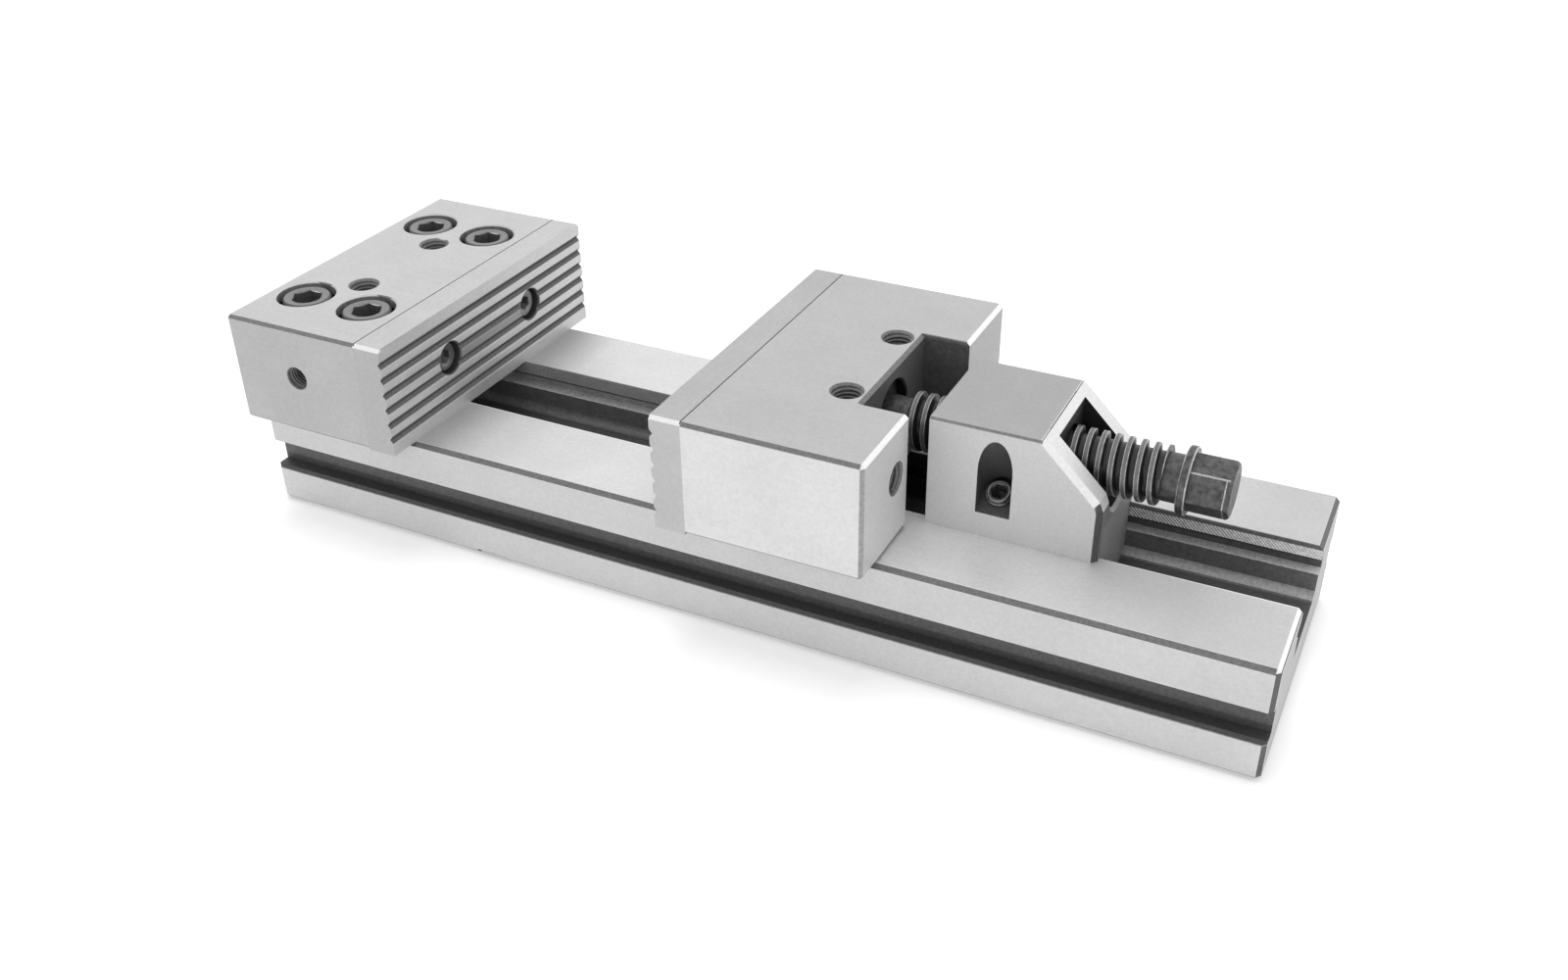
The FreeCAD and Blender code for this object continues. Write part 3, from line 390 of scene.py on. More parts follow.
# Below their upper walls the counterbores are painted dark as shade.
counterbore_painted_shade = dict(counterbore_walls, z=(COUNTERBORE_LOW, COUNTERBORE_SHADE))
material = ground_steel("tool_steel_ground_fixed_jaw",
                        box_faces(FIXED_JAW_LEFT, FIXED_JAW_RIGHT) + [counterbore_rims],
                        "#C8C8C8", "#DADADA", [(SIDES, "#BBBBBB")], "#777777",
                        [(counterbore_walls, "#8A8A8A"), (counterbore_painted_shade, "#303030")])
dress("fixed_jaw", material)


# The jaw plates: hardened steel, ground on the lands, ends and top. The V grooves between the
# lands grip the work and are left dark, and deeper in they are painted darker as shade.

PLATE_FACE = {"fixed_jaw_plate": -140.9, "movable_jaw_plate": -13.4}
PLATE_THICKNESS = 13.5
GROUND_DEPTH = 0.12
GRIP_DEPTH = 1.15
GRIP_TOP = 96.0
TOP_LAND = 97.0
SEAM = 0.5
ACROSS = (1.2, 8, 1.2)

# The wheel's lines run across the plates. The middle land, between the screws, is coloured darker.
DARKER_LAND = {"y": (-24, 24), "z": (73.6, 79)}
# The near top corner is painted near white as a highlight.
near_top_corner_highlight = {"z": (98.5, 99.9), "y": (-76, -73)}

for node, facing, dim, bright, near in (
        ("fixed_jaw_plate", 1, "#C8C8C8", "#D8D8D8", "#B7B7B7"),
        ("movable_jaw_plate", -1, "#B6B6B6", "#C8C8C8", "#C2C2C2")):
    face = PLATE_FACE[node]
    back = face - facing * PLATE_THICKNESS
    depth = face - facing * GROUND_DEPTH
    bottom = face - facing * GRIP_DEPTH
    joint = back + facing * SEAM
    lands = (min(face, depth) - 0.02, max(face, depth) + 0.02)
    zones = [
        {"z": (TOP_LAND, JAW_TOP + FLAT)},
        {"y_size": (JAW_HALF_WIDTH - FLAT, JAW_HALF_WIDTH + FLAT)},
        {"x": lands},
        {"x": (back - FLAT, back + FLAT)},
    ]
    painted_groove_shade = {"x": (min(bottom, back), max(bottom, back)), "y_size": (0, JAW_HALF_WIDTH - 0.2),
            "z": (BED_TOP, GRIP_TOP)}
    seam = {"x": (min(back, joint), max(back, joint)), "z": (JAW_TOP - 1, JAW_TOP + 1)}
    # Painted light: the sides are coloured by the way that they face.
    painted_light_and_tints = [(SIDES, near), (near_top_corner_highlight, "#F4F4F4"), (seam, "#2C2C2C"),
             (dict(DARKER_LAND, x=lands), "#A0A0A0")]
    material = ground_steel(f"hardened_steel_ground_{node}", zones, dim, bright, painted_light_and_tints,
                            "#606060", [(painted_groove_shade, "#3C3C3C")], wheel=ACROSS)
    dress(node, material)


# The movable jaw: slides on the bed and is pushed by the screw's nose. The pocket behind it
# clears the front end of the block; it and the journal's recess are painted dark as shade.

MOVABLE_JAW_LEFT = 0.1
MOVABLE_JAW_RIGHT = 74.9
POCKET_WALL = 55.3
POCKET_HALF_WIDTH = 33.0

rear_chamfer = dict(UP_AND_RIGHT, x=(MOVABLE_JAW_RIGHT - 2, MOVABLE_JAW_RIGHT),
                    z=(JAW_TOP - 2.5, JAW_TOP))
far_rear_shade = dict(ENDS, y=(POCKET_HALF_WIDTH, JAW_HALF_WIDTH))
pocket_painted_shade = {"x": (POCKET_WALL - 40, MOVABLE_JAW_RIGHT), "z": (40, JAW_TOP - 1.7),
          "y_size": (0, POCKET_HALF_WIDTH + MARGIN)}
journal_recess_painted_shade = {"x": (POCKET_WALL - 40, POCKET_WALL - MARGIN), "z": (63, 94), "y_size": (0, 15)}
upright_edges = {"y_size": (73.2, JAW_HALF_WIDTH), "z": (BED_TOP, JAW_TOP - 1.6)}
# Painted light: the sides and ends by the way that they face, the far part of the rear face darker
# as shade, and the rear chamfer as a highlight.
jaw_painted_light = [(SIDES, "#DFDFDF"), (ENDS, "#E0E0E0"), (far_rear_shade, "#B4B4B4"),
             (rear_chamfer, "#F4F4F4")]
material = ground_steel("tool_steel_ground_movable_jaw",
                        box_faces(MOVABLE_JAW_LEFT, MOVABLE_JAW_RIGHT) + [rear_chamfer],
                        "#BCBCBC", "#CACACA", jaw_painted_light, "#757575",
                        [(pocket_painted_shade, "#5C5C5C"), (journal_recess_painted_shade, "#242424"),
                         (upright_edges, "#A5A5A5")])
dress("movable_jaw", material)


# The screw block: the nut's housing, anchored in the channel. Its top, sides, front and slope
# are ground. The rear face, the keel, the windows and the slot are as hardened, and the slot and
# the windows are painted darker still as shade.

BLOCK_LEFT = 80.9
BLOCK_RIGHT = 149.7
BLOCK_HALF_WIDTH = 26.7
BLOCK_TOP = 97.3
SLOPE_START = 125.0
SLOT_HALF_WIDTH = 16.6

block_ground = [
    {"z": (BLOCK_TOP - FLAT, BLOCK_TOP + FLAT)},
    {"y_size": (BLOCK_HALF_WIDTH - FLAT, BLOCK_HALF_WIDTH + FLAT), "z": (BED_TOP, BLOCK_TOP)},
    {"x": (BLOCK_LEFT - FLAT, BLOCK_LEFT + FLAT)},
    dict(UP_AND_RIGHT, y_size=(SLOT_HALF_WIDTH, 27), x=(SLOPE_START, 151)),
    dict(UP_AND_RIGHT, x=(SLOPE_START, SLOPE_START + 3.5)),
]
slope_sides = dict(UP_AND_RIGHT, ny_size=(0.2, 1))
slot = {"y_size": (0, SLOT_HALF_WIDTH), "x": (BLOCK_LEFT, BLOCK_RIGHT - 1.6)}
window_shade = {"y_size": (14, 26.6), "x": (100, 116), "z": (55, 96)}
rear_edges = {"x": (147.4, BLOCK_RIGHT), "z": (BED_TOP, 75), "y_size": (24.4, 27)}
slot_edge = {"x": (148.1, BLOCK_RIGHT - 0.01), "y_size": (0, 18.1), "z": (58, 75)}
keel_rear = {"x": (BLOCK_RIGHT - FLAT, BLOCK_RIGHT + FLAT), "y_size": (0, 20), "z": (0, 62)}
# Painted light: the sides by the way that they face, and the faces and chamfers facing up and right
# as highlights.
block_painted_light = [(SIDES, "#D3D3D3"), (UP_AND_RIGHT, "#E2E2E2"), (slope_sides, "#F4F4F4")]
block_skin_and_painted_shade = [(slot, "#202020"), (window_shade, "#484848"), (rear_edges, "#454545"),
               (slot_edge, "#A8A8A8"), (keel_rear, "#8E8E8E")]
material = ground_steel("tool_steel_ground_and_blackened_block", block_ground, "#A9A9A9",
                        "#B5B5B5", block_painted_light, "#7A7A7A", block_skin_and_painted_shade)
dress("screw_block", material)


# The lead screw: turned from one bar and blackened. The oxide looks dark grey, patchy and dully
# shiny, and it is worn to pale bare steel along the thread's edges and the collar's rim. The pale
# lines on the hexagon are worn steel and painted highlight both, as they stand only on its upper
# corners and its near side.

SCREW_AXIS = 78.5
SCREW_PITCH = 5.0
SCREW_RADIUS = 12.0
ROOT_RADIUS = 8.0
CREST_START = 63.85
CREST_END = 167.0
CREST_HALF = 0.925
VALLEY_END = 165.0
VALLEY_DEPTH = 0.9
COLLAR_RADIUS = 13.5
COLLAR_ENDS = (172.65, 176.05)
HEX_CORNER = 11.55
HEX_END_EDGE = (189.2, 189.7)
SCREW_END = 192.0

material, tree, place = new_material("alloy_steel_black_oxide_worn")

# How far a spot is from the screw's axis, and from the middle of the thread's crest.
lift = add(tree, "ShaderNodeMath", {0: place["z"], 1: SCREW_AXIS}, operation="SUBTRACT")
square = add(tree, "ShaderNodeMath", {0: lift, 1: lift}, operation="MULTIPLY")
square = add(tree, "ShaderNodeMath", {0: place["y"], 1: place["y"], 2: square},
             operation="MULTIPLY_ADD")
place["radius"] = add(tree, "ShaderNodeMath", {0: square}, operation="SQRT")
angle = add(tree, "ShaderNodeMath", {0: lift, 1: place["y"]}, operation="ARCTAN2")
along = add(tree, "ShaderNodeMath", {0: angle, 1: -SCREW_PITCH / math.tau, 2: place["x"]},
            operation="MULTIPLY_ADD")
along = add(tree, "ShaderNodeMath", {0: along, 1: CREST_START + SCREW_PITCH / 4},
            operation="SUBTRACT")
along = add(tree, "ShaderNodeMath", {0: along, 1: SCREW_PITCH / 2, 2: -SCREW_PITCH / 2},
            operation="WRAP")
place["from_crest"] = add(tree, "ShaderNodeMath", {0: along}, operation="ABSOLUTE")

crest = {"radius": (SCREW_RADIUS - 0.3, SCREW_RADIUS + MARGIN), "x": (CREST_START, CREST_END)}
crest_rims = dict(crest, from_crest=(CREST_HALF - 0.25, CREST_HALF + MARGIN))
valley_zone = {"radius": (ROOT_RADIUS, SCREW_RADIUS - VALLEY_DEPTH), "x": (CREST_START, VALLEY_END)}
# In the jaw's pocket the thread between the crests is painted dark as shade.
in_pocket = {"x": (CREST_START, BLOCK_LEFT), "from_crest": (CREST_HALF, 3)}
collar = {"radius": (COLLAR_RADIUS - 0.6, COLLAR_RADIUS + MARGIN)}
collar_rims = [dict(collar, x=(end - 0.5, end + 0.5)) for end in COLLAR_ENDS]
# The hexagon's pale lines stand only on its upper corners and near side: partly painted highlight.
hex_rim = {"radius": (HEX_CORNER - 0.2, HEX_CORNER + MARGIN), "x": (COLLAR_ENDS[1], SCREW_END),
           "z": (SCREW_AXIS, SCREW_AXIS + SCREW_RADIUS)}
hex_end = {"x": HEX_END_EDGE, "ny": (-1.1, -0.5)}

streaks = grain(tree, place, (0.5, 1.6, 1.6), detail=4)
patches = grain(tree, place, (2.2, 2.2, 2.2), detail=4)
broken = add(tree, "ShaderNodeMapRange",
             {0: streaks, 1: NOISE_LOW, 2: NOISE_HIGH, 3: 0.35, 4: 0.95})
paled = add(tree, "ShaderNodeMath", {0: zone(tree, place, crest), 1: broken},
             operation="MULTIPLY")
bare_and_highlight = add(tree, "ShaderNodeMath",
           {0: zone(tree, place, crest_rims, hex_rim, hex_end, *collar_rims), 1: broken},
           operation="MULTIPLY")
worn = add(tree, "ShaderNodeMapRange", {0: patches, 1: NOISE_LOW, 2: NOISE_HIGH})
valley = zone(tree, place, valley_zone)
painted_pocket_shade = zone(tree, place, in_pocket)
colour = coated(tree, "#424242", [(worn, "#6C6C6C"), (valley, "#3C3C3C"), (paled, "#7C7C7C"),
                                  (bare_and_highlight, "#D8D8D8"), (painted_pocket_shade, "#3E3E3E")])
rough = add(tree, "ShaderNodeMapRange",
            {0: streaks, 1: NOISE_LOW, 2: NOISE_HIGH, 3: 0.32, 4: 0.5})
bump = add(tree, "ShaderNodeBump", {"Strength": 0.4, "Distance": 0.00004, "Height": streaks})
shader = add(tree, "ShaderNodeBsdfPrincipled", {"Base Color": colour, "Metallic": 0.6,
                                                "Roughness": rough, "Normal": bump})
add(tree, "ShaderNodeOutputMaterial", {"Surface": shader})
dress("lead_screw", material)


# The fasteners: socket head screws of alloy steel with a black oxide skin, which looks dark and
# softly shiny, and paler on the end faces that the key rubs. The heads are knurled, the sockets
# countersunk and drilled to a point, and the threads rolled.

SCREW_SEGMENTS = 96
SOCKET_SLOPE = 0.6
COUNTERSINK = 0.25
DRILL_TIP = 0.2
KNURL_START = 0.6
KNURL_END = 1.0
KNURL_RUNOUT = 0.1
KNURL_DEPTH = 0.3
THREADED = 0.7
THREAD_RUNOUT = 1.0
THREAD_PROUD = 0.1
RIDGE = 0.3
SHARP_EDGE = math.radians(32)

material, tree, place = new_material("alloy_steel_black_oxide")
specks = grain(tree, place, (0.8, 0.8, 0.8), detail=4)
ends = zone(tree, place, {"nz_size": (0.93, 1.01)})
leaning_ends = zone(tree, place, {"nz": (0.8, 0.92), "ny_size": (0.4, 0.6)})
rims = zone(tree, place, {"nz": (0.6, 0.8)}, {"nx": (0.6, 0.8)})
colour = coated(tree, "#707070", [(specks, "#909090"), (ends, "#909090"), (rims, "#606060"),
                                  (leaning_ends, "#C8C8C8")])
shade = add(tree, "ShaderNodeMapRange",
            {0: specks, 1: NOISE_LOW, 2: NOISE_HIGH, 3: 0.85, 4: 1.05})
colour = add(tree, "ShaderNodeVectorMath", {0: colour, "Scale": shade}, operation="SCALE")
rough = add(tree, "ShaderNodeMapRange",
            {0: specks, 1: NOISE_LOW, 2: NOISE_HIGH, 3: 0.32, 4: 0.45})
bump = add(tree, "ShaderNodeBump", {"Strength": 0.3, "Distance": 0.00003, "Height": specks})
shader = add(tree, "ShaderNodeBsdfPrincipled", {"Base Color": colour, "Metallic": 0.7,
                                                "Roughness": rough, "Normal": bump})
add(tree, "ShaderNodeOutputMaterial", {"Surface": shader})
fastener_steel = material


def thread_tree():
    """Puts a screw with a helical thread, or only the thread, on each point."""
    tree = bpy.data.node_groups.new("threaded_fasteners", "GeometryNodeTree")
    for name, kind in (("Points", "Geometry"), ("Screw", "Object"), ("Pitch", "Float"),
                       ("Helix radius", "Float"), ("Ridge radius", "Float"), ("Start", "Float"),
                       ("Turns", "Float"), ("Finish", "Material")):
        tree.interface.new_socket(name=name, in_out="INPUT", socket_type="NodeSocket" + kind)
    tree.interface.new_socket(name="Result", in_out="OUTPUT", socket_type="NodeSocketGeometry")
    given = add(tree, "NodeGroupInput", {}).node.outputs
    height = add(tree, "ShaderNodeMath", {0: given["Pitch"], 1: given["Turns"]},
                 operation="MULTIPLY")
    helix = add(tree, "GeometryNodeCurveSpiral", {
        "Resolution": 32, "Rotations": given["Turns"], "Start Radius": given["Helix radius"],
        "End Radius": given["Helix radius"], "Height": height})
    ridge = add(tree, "GeometryNodeCurvePrimitiveCircle", {"Resolution": 6,
                                                          "Radius": given["Ridge radius"]})
    thread = add(tree, "GeometryNodeCurveToMesh", {"Curve": helix, "Profile Curve": ridge,
                                                   "Fill Caps": True})
    low = add(tree, "ShaderNodeMath", {0: given["Start"], 1: height}, operation="ADD")
    low = add(tree, "ShaderNodeMath", {0: low, 1: -1.0}, operation="MULTIPLY")
    shift = add(tree, "ShaderNodeCombineXYZ", {"Z": low})
    thread = add(tree, "GeometryNodeTransform", {"Geometry": thread, "Translation": shift})
    screw = add(tree, "GeometryNodeObjectInfo", {"Object": given["Screw"]}).node
    both = add(tree, "GeometryNodeJoinGeometry", {0: thread}).node
    tree.links.new(screw.outputs["Geometry"], both.inputs[0])
    outward = add(tree, "GeometryNodeInputNamedAttribute", {"Name": "outward"},
                  data_type="FLOAT_VECTOR")
    size = add(tree, "GeometryNodeInputNamedAttribute", {"Name": "size"}, data_type="FLOAT")
    turn = add(tree, "FunctionNodeAlignRotationToVector", {"Vector": outward}, axis="Z")
    placed = add(tree, "GeometryNodeInstanceOnPoints", {
        "Points": given["Points"], "Instance": both.outputs[0], "Rotation": turn, "Scale": size})
    real = add(tree, "GeometryNodeRealizeInstances", {"Geometry": placed})
    done = add(tree, "GeometryNodeSetMaterial", {"Geometry": real, "Material": given["Finish"]})
    add(tree, "NodeGroupOutput", {"Result": done})
    return tree


fasteners = thread_tree()


def on_points(name, points, finish, body, slot, replaced=(), **sizes):
    """Bakes the fasteners at (place, outward, size) points into one mesh on one body."""
    mesh = bpy.data.meshes.new(name)
    mesh.from_pydata([place for place, outward, size in points], [], [])
    mesh.attributes.new("outward", "FLOAT_VECTOR", "POINT")
    mesh.attributes.new("size", "FLOAT", "POINT")
    for i, (place, outward, size) in enumerate(points):
        mesh.attributes["outward"].data[i].vector = outward
        mesh.attributes["size"].data[i].value = size
    piece = bpy.data.objects.new(name, mesh)
    bpy.context.collection.objects.link(piece)
    modifier = piece.modifiers.new("fasteners", "NODES")
    modifier.node_group = fasteners
    for item in fasteners.interface.items_tree:
        key = item.name.lower().replace(" ", "_")
        if item.in_out == "INPUT" and key in sizes:
            modifier[item.identifier] = sizes[key]
        if item.in_out == "INPUT" and item.name == "Finish":
            modifier[item.identifier] = finish
    graph = bpy.context.evaluated_depsgraph_get()
    baked = bpy.data.meshes.new_from_object(piece.evaluated_get(graph), depsgraph=graph)
    piece.modifiers.clear()
    piece.data = baked
    baked.name = name
    baked.shade_smooth()
    baked.set_sharp_from_angle(angle=SHARP_EDGE)
    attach(piece, body)
    if replaced:
        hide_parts(*replaced)


def socket_screw(name, head, height, shank, length, key, edge=0.4, reach=0.6):
    """A screw with its head's top at the origin and its shank downwards, in metres."""
    flat = key / 2
    corner = flat / math.cos(math.pi / 6)
    mouth = corner + COUNTERSINK
    rings = []

    def ring(radius, depth, teeth=0.0):
        points = []
        for i in range(SCREW_SEGMENTS):
            angle = math.tau * i / SCREW_SEGMENTS
            r = radius - teeth * (i % 2)
            points.append((r * math.cos(angle) * MM, r * math.sin(angle) * MM, -depth * MM))
        rings.append(points)

    def hexagon(depth, slope=0.0):
        points = []
        for i in range(SCREW_SEGMENTS):
            angle = math.tau * i / SCREW_SEGMENTS
            r = flat / math.cos(angle % (math.pi / 3) - math.pi / 6)
            fall = depth + slope * (mouth - r)
            points.append((r * math.cos(angle) * MM, r * math.sin(angle) * MM, -fall * MM))
        rings.append(points)

    ring(DRILL_TIP, key * reach + flat)
    hexagon(key * reach)
    hexagon(0, SOCKET_SLOPE)
    ring(mouth, 0)
    ring(head / 2 - edge, 0)
    ring(head / 2, edge)
    if height:
        ring(head / 2, edge + KNURL_START)
        ring(head / 2, edge + KNURL_START + KNURL_RUNOUT, KNURL_DEPTH)
        ring(head / 2, height - KNURL_END, KNURL_DEPTH)
        ring(head / 2, height - KNURL_END + KNURL_RUNOUT)
        ring(head / 2, height)
        ring(shank / 2, height)
    ring(shank / 2, height + length - edge * 2)
    ring(shank / 2 - edge * 2, height + length)
    n = SCREW_SEGMENTS
    faces = [tuple(range(n)), tuple((len(rings) - 1) * n + i for i in range(n))]
    for level in range(len(rings) - 1):
        for i in range(n):
            j = (i + 1) % n
            faces.append((level * n + i, level * n + j, (level + 1) * n + j, (level + 1) * n + i))
    mesh = bpy.data.meshes.new(name)
    mesh.from_pydata([p for points in rings for p in points], [], faces)
    shape = bmesh.new()
    shape.from_mesh(mesh)
    bmesh.ops.recalc_face_normals(shape, faces=shape.faces)
    shape.to_mesh(mesh)
    shape.free()
    screw = bpy.data.objects.new(name, mesh)
    bpy.context.collection.objects.link(screw)
    return screw


def seats(nodes, outward):
    """The points at the outer ends of straight screws, from their CAD boxes."""
    points = []
    for node in nodes:
        low, high = (Vector(corner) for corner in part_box(node))
        middle = (low + high) / 2
        half = (high - low) / 2
        points.append((middle + Vector(o * h for o, h in zip(outward, half)), outward, 1.0))
    return points


# Each set of screws: the nodes that it replaces, its direction, body, sizes and pitch.
JAW_SCREW = dict(head=21, height=14, shank=12.4, length=55, key=12, edge=0.75)
PLATE_SCREW = dict(head=13, height=8, shank=7, length=20, key=6)
HOLD_DOWN_SCREW = dict(head=16, height=10, shank=8.7, length=22, key=8)
SCREW_SETS = {
    "fixed_jaw_screws": (["fixed_jaw_screw_%d" % i for i in (1, 2, 3, 4)],
                         (0, 0, 1), "base", JAW_SCREW, 2.0),
    "fixed_plate_screws": (["fixed_plate_screw_1", "fixed_plate_screw_2"],
                           (1, 0, 0), "base", PLATE_SCREW, 1.25),
    "movable_plate_screws": (["movable_plate_screw_1", "movable_plate_screw_2"],
                             (-1, 0, 0), "movable_jaw", PLATE_SCREW, 1.25),
    "hold_down_screws": (["hold_down_screw_1", "hold_down_screw_2"],
                         (0, 0, -1), "movable_jaw", HOLD_DOWN_SCREW, 1.5),
}

for name, (nodes, outward, body, sizes, pitch) in SCREW_SETS.items():
    prototype = socket_screw(name + "_shape", **sizes)
    turns = int(sizes["length"] * THREADED / pitch)
    start = sizes["height"] + sizes["length"] - turns * pitch - THREAD_RUNOUT
    helix = sizes["shank"] / 2 + THREAD_PROUD
    on_points(name, seats(nodes, outward), fastener_steel, body, "blackened_fastener_steel", nodes,
              screw=prototype, pitch=pitch * MM, helix_radius=helix * MM,
              ridge_radius=RIDGE * pitch * MM, start=start * MM, turns=float(turns))
    bpy.data.objects.remove(prototype)


# The set screws of the anchor pin: headless screws of the same steel, seen in the block's
# windows and leaning 30 degrees. With their threads they are drawn 11 mm across, a little more
# than their solids, because they look so beside the windows.

SET_SCREW_RADIUS = 5.0
SET_SCREW_CORE = 4.8
SET_SCREW_KEY = 6
SET_SCREW_PITCH = 1.5
SET_SCREW_RIDGE = 0.5
SET_SCREW_START = 0.9
LEAN = math.radians(30)

for side, node in ((-1, "anchor_set_screw_near"), (1, "anchor_set_screw_far")):
    low, high = (Vector(corner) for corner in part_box(node))
    rim = Vector((0, SET_SCREW_RADIUS * math.cos(LEAN), SET_SCREW_RADIUS * math.sin(LEAN))) * MM
    top = Vector(((low.x + high.x) / 2, low.y + rim.y if side < 0 else high.y - rim.y,
                  high.z - rim.z))
    length = ((high.z - low.z) / MM - 2 * rim.z / MM) / math.cos(LEAN)
    turns = int((length - 2) / SET_SCREW_PITCH)
    prototype = socket_screw(node + "_shape", 2 * SET_SCREW_CORE, 0, 2 * SET_SCREW_CORE, length,
                             SET_SCREW_KEY, reach=1)
    outward = (0, side * math.sin(LEAN), math.cos(LEAN))
    on_points(node + "_threaded", [(top, outward, 1.0)], fastener_steel, "screw_block",
              "blackened_fastener_steel", [node], screw=prototype, pitch=SET_SCREW_PITCH * MM,
              helix_radius=(SET_SCREW_CORE + 0.15) * MM, ridge_radius=SET_SCREW_RIDGE * MM,
              start=SET_SCREW_START * MM, turns=float(turns))
    bpy.data.objects.remove(prototype)


# The tapped holes: M12 in the tops of the jaws and behind the movable one, M10 in the fixed
# jaw's sides. A ridge that winds along the bore shows as two or three thread lines in it.

TAP_HELIX = 5.95
TAP_RIDGE = 0.55
TAP_PITCH = 1.75
TAP_START = 1.9
TAP_TURNS = 8.0
SMALL_TAP = 10 / 12
FIXED_JAW_MIDDLE = (FIXED_JAW_LEFT + FIXED_JAW_RIGHT) / 2
FIXED_TOP_TAP_Y = 25.2
FIXED_SIDE_TAP_Z = 76.6
MOVABLE_TOP_TAP = (46.15, 25.4)
MOVABLE_REAR_TAP = (43.7, 77.8)

UP = (0, 0, 1)
top_x, top_y = MOVABLE_TOP_TAP
rear_y, rear_z = MOVABLE_REAR_TAP
tapped = {
    "base": [((FIXED_JAW_MIDDLE, FIXED_TOP_TAP_Y, JAW_TOP), UP, 1.0),
             ((FIXED_JAW_MIDDLE, -FIXED_TOP_TAP_Y, JAW_TOP), UP, 1.0),
             ((FIXED_JAW_MIDDLE, -JAW_HALF_WIDTH, FIXED_SIDE_TAP_Z), (0, -1, 0), SMALL_TAP),
             ((FIXED_JAW_MIDDLE, JAW_HALF_WIDTH, FIXED_SIDE_TAP_Z), (0, 1, 0), SMALL_TAP)],
    "movable_jaw": [((top_x, top_y, JAW_TOP), UP, 1.0),
                    ((top_x, -top_y, JAW_TOP), UP, 1.0),
                    ((MOVABLE_JAW_RIGHT, rear_y, rear_z), (1, 0, 0), 1.0),
                    ((MOVABLE_JAW_RIGHT, -rear_y, rear_z), (1, 0, 0), 1.0)],
}

# A thread is never ground, so its ground zone lies below the vise.
nowhere = {"z": (-2, -1)}
thread_steel = ground_steel("tool_steel_blackened_thread", [nowhere], "#808080", "#909090", [],
                            "#848484", [])
for body, holes in tapped.items():
    points = [([c * MM for c in place], outward, size) for place, outward, size in holes]
    on_points("tapped_threads_" + body, points, thread_steel, body, "ground_jaw_steel",
              pitch=TAP_PITCH * MM, helix_radius=TAP_HELIX * MM, ridge_radius=TAP_RIDGE * MM,
              start=TAP_START * MM, turns=TAP_TURNS)


# The hidden parts: the dowels, the pins, the thrust pad and the T bar below the movable jaw.
# They are of the fasteners' steel, pressed in, screwed on or loose in their holes.

for node in ("fixed_jaw_dowel_1", "fixed_jaw_dowel_2", "anchor_pin", "thrust_pad", "hold_down_bar",
             "screw_retaining_pin_near", "screw_retaining_pin_far"):
    dress(node, fastener_steel)


# The studio: a pale floor, a soft light from above and white surroundings, with one brighter
# side that only the reflections show.

FLOOR_HALF = 6.0
FLOOR_GAP = 0.0002
FLOOR_GLOW = 0.3

floor_mesh = bpy.data.meshes.new("floor")
corners = [(-FLOOR_HALF, -FLOOR_HALF, 0), (FLOOR_HALF, -FLOOR_HALF, 0),
           (FLOOR_HALF, FLOOR_HALF, 0), (-FLOOR_HALF, FLOOR_HALF, 0)]
floor_mesh.from_pydata(corners, [], [(0, 1, 2, 3)])
floor = bpy.data.objects.new("floor", floor_mesh)
bpy.context.collection.objects.link(floor)
floor.location.z = -FLOOR_GAP

# Matt white paper. The glow lifts it to the white of the background and keeps the shadow.
material = bpy.data.materials.new("white_paper")
material.use_nodes = True
tree = material.node_tree
tree.nodes.clear()
rays = add(tree, "ShaderNodeLightPath", {}).node
seen = add(tree, "ShaderNodeMath", {0: rays.outputs["Is Camera Ray"],
                                    1: rays.outputs["Is Glossy Ray"]}, operation="MAXIMUM")
seen = add(tree, "ShaderNodeMath", {0: seen, 1: rays.outputs["Is Transmission Ray"]},
           operation="MAXIMUM")
glow = add(tree, "ShaderNodeMath", {0: seen, 1: FLOOR_GLOW}, operation="MULTIPLY")
paper = add(tree, "ShaderNodeBsdfDiffuse", {"Color": linear("#F2F2F2")})
light = add(tree, "ShaderNodeEmission", {"Color": linear("#FFFFFF"), "Strength": glow})
both = add(tree, "ShaderNodeAddShader", {0: paper, 1: light})
add(tree, "ShaderNodeOutputMaterial", {"Surface": both})
floor_mesh.materials.append(material)

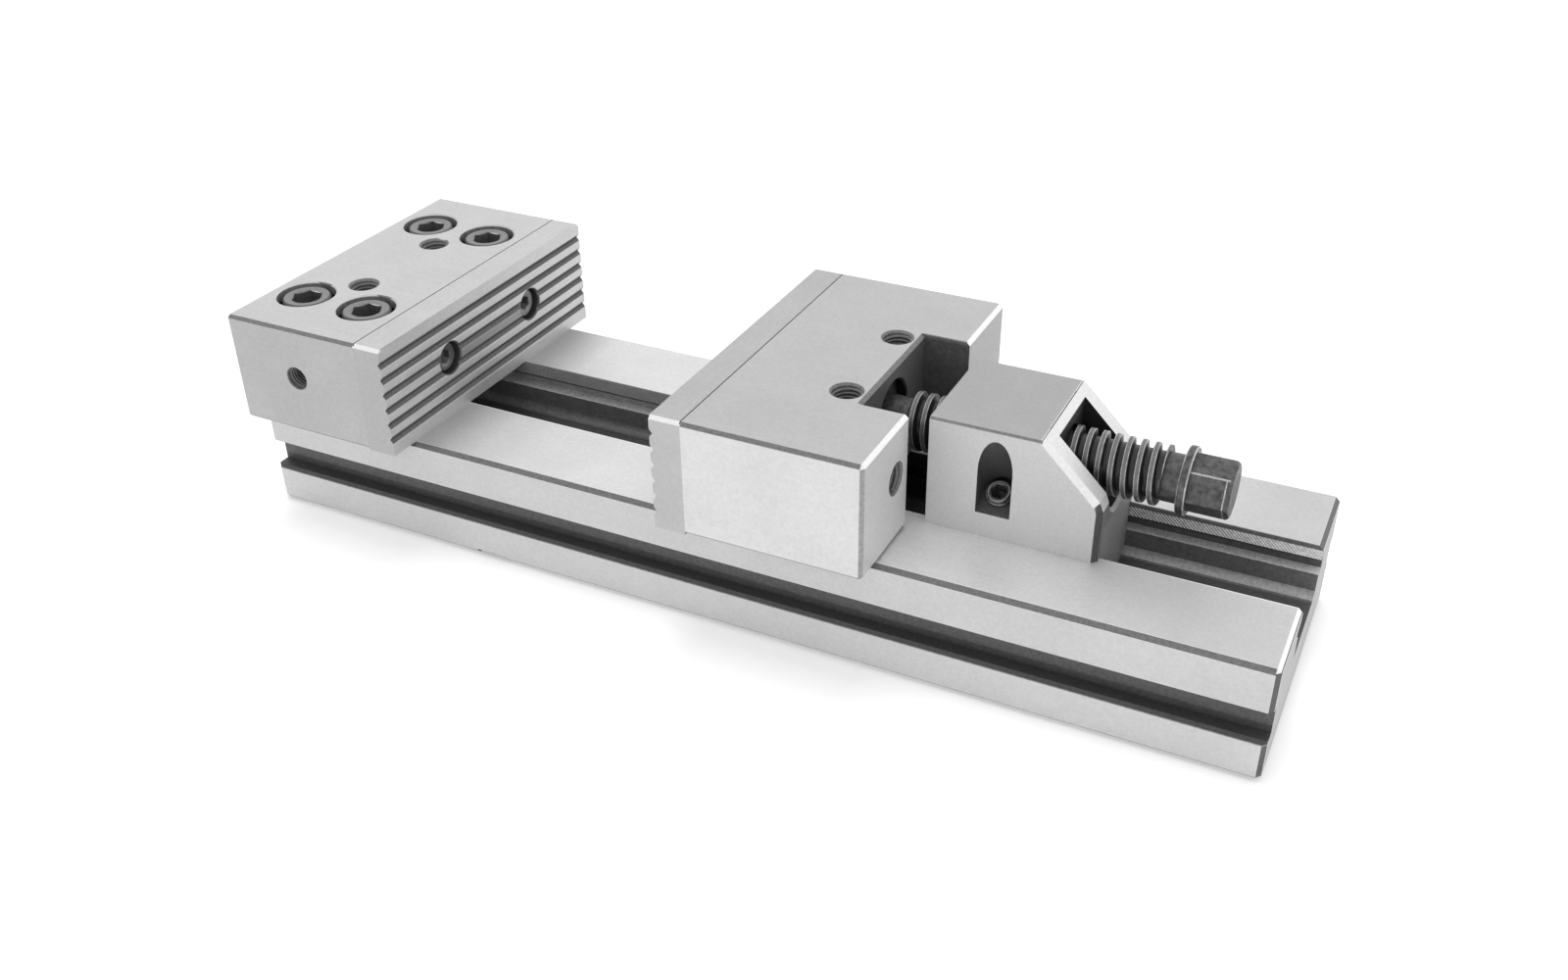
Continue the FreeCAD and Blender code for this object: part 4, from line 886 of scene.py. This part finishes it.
sun = bpy.data.lights.new("soft_key", "SUN")
sun.energy = 0.9
sun.angle = math.radians(24)
lamp = bpy.data.objects.new("soft_key", sun)
bpy.context.collection.objects.link(lamp)
lamp.rotation_euler = Vector((0.12, -0.1, -1)).to_track_quat("-Z", "Y").to_euler()
lamp.visible_glossy = False

# White all round. The object is lit a little more softly than that, and reflections see a
# brighter panel at the far right.
SKY_LEVEL = 0.8
GLOSSY_LEVEL = 0.93
PANEL_LEVEL = 1.35
PANEL_EDGE, PANEL_FULL = 0.6, 0.98

world = bpy.data.worlds.new("studio")
bpy.context.scene.world = world
world.use_nodes = True
tree = world.node_tree
tree.nodes.clear()
rays = add(tree, "ShaderNodeLightPath", {}).node
way = add(tree, "ShaderNodeTexCoord", {})
panel_way = Vector((0.48, 0.76, 0.43)).normalized()
towards = add(tree, "ShaderNodeVectorMath", {0: way, 1: panel_way}, out=1,
              operation="DOT_PRODUCT")
panel = add(tree, "ShaderNodeMapRange",
            {0: towards, 1: PANEL_EDGE, 2: PANEL_FULL, 3: GLOSSY_LEVEL, 4: PANEL_LEVEL},
            interpolation_type="SMOOTHSTEP")
level = add(tree, "ShaderNodeMix", {0: rays.outputs["Is Glossy Ray"], 2: SKY_LEVEL, 3: panel})
level = add(tree, "ShaderNodeMix", {0: rays.outputs["Is Transmission Ray"], 2: level, 3: 1.0})
level = add(tree, "ShaderNodeMix", {0: rays.outputs["Is Camera Ray"], 2: level, 3: 1.0})
background = add(tree, "ShaderNodeBackground", {"Color": linear("#FFFFFF"), "Strength": level})
add(tree, "ShaderNodeOutputWorld", {"Surface": background})

# The camera's place and lens were fitted to the object's straight edges in the photo.
camera = bpy.data.objects.new("camera", bpy.data.cameras.new("camera"))
bpy.context.collection.objects.link(camera)
camera.location = (0.25375, -0.49552, 0.37679)
camera.rotation_euler = Euler([math.radians(a) for a in (57.929, 0.669, 26.165)])
camera.data.sensor_width = 36.0
camera.data.lens = 34.717
camera.data.clip_start = 0.05
bpy.context.scene.camera = camera
bpy.context.scene.view_settings.view_transform = "Standard"
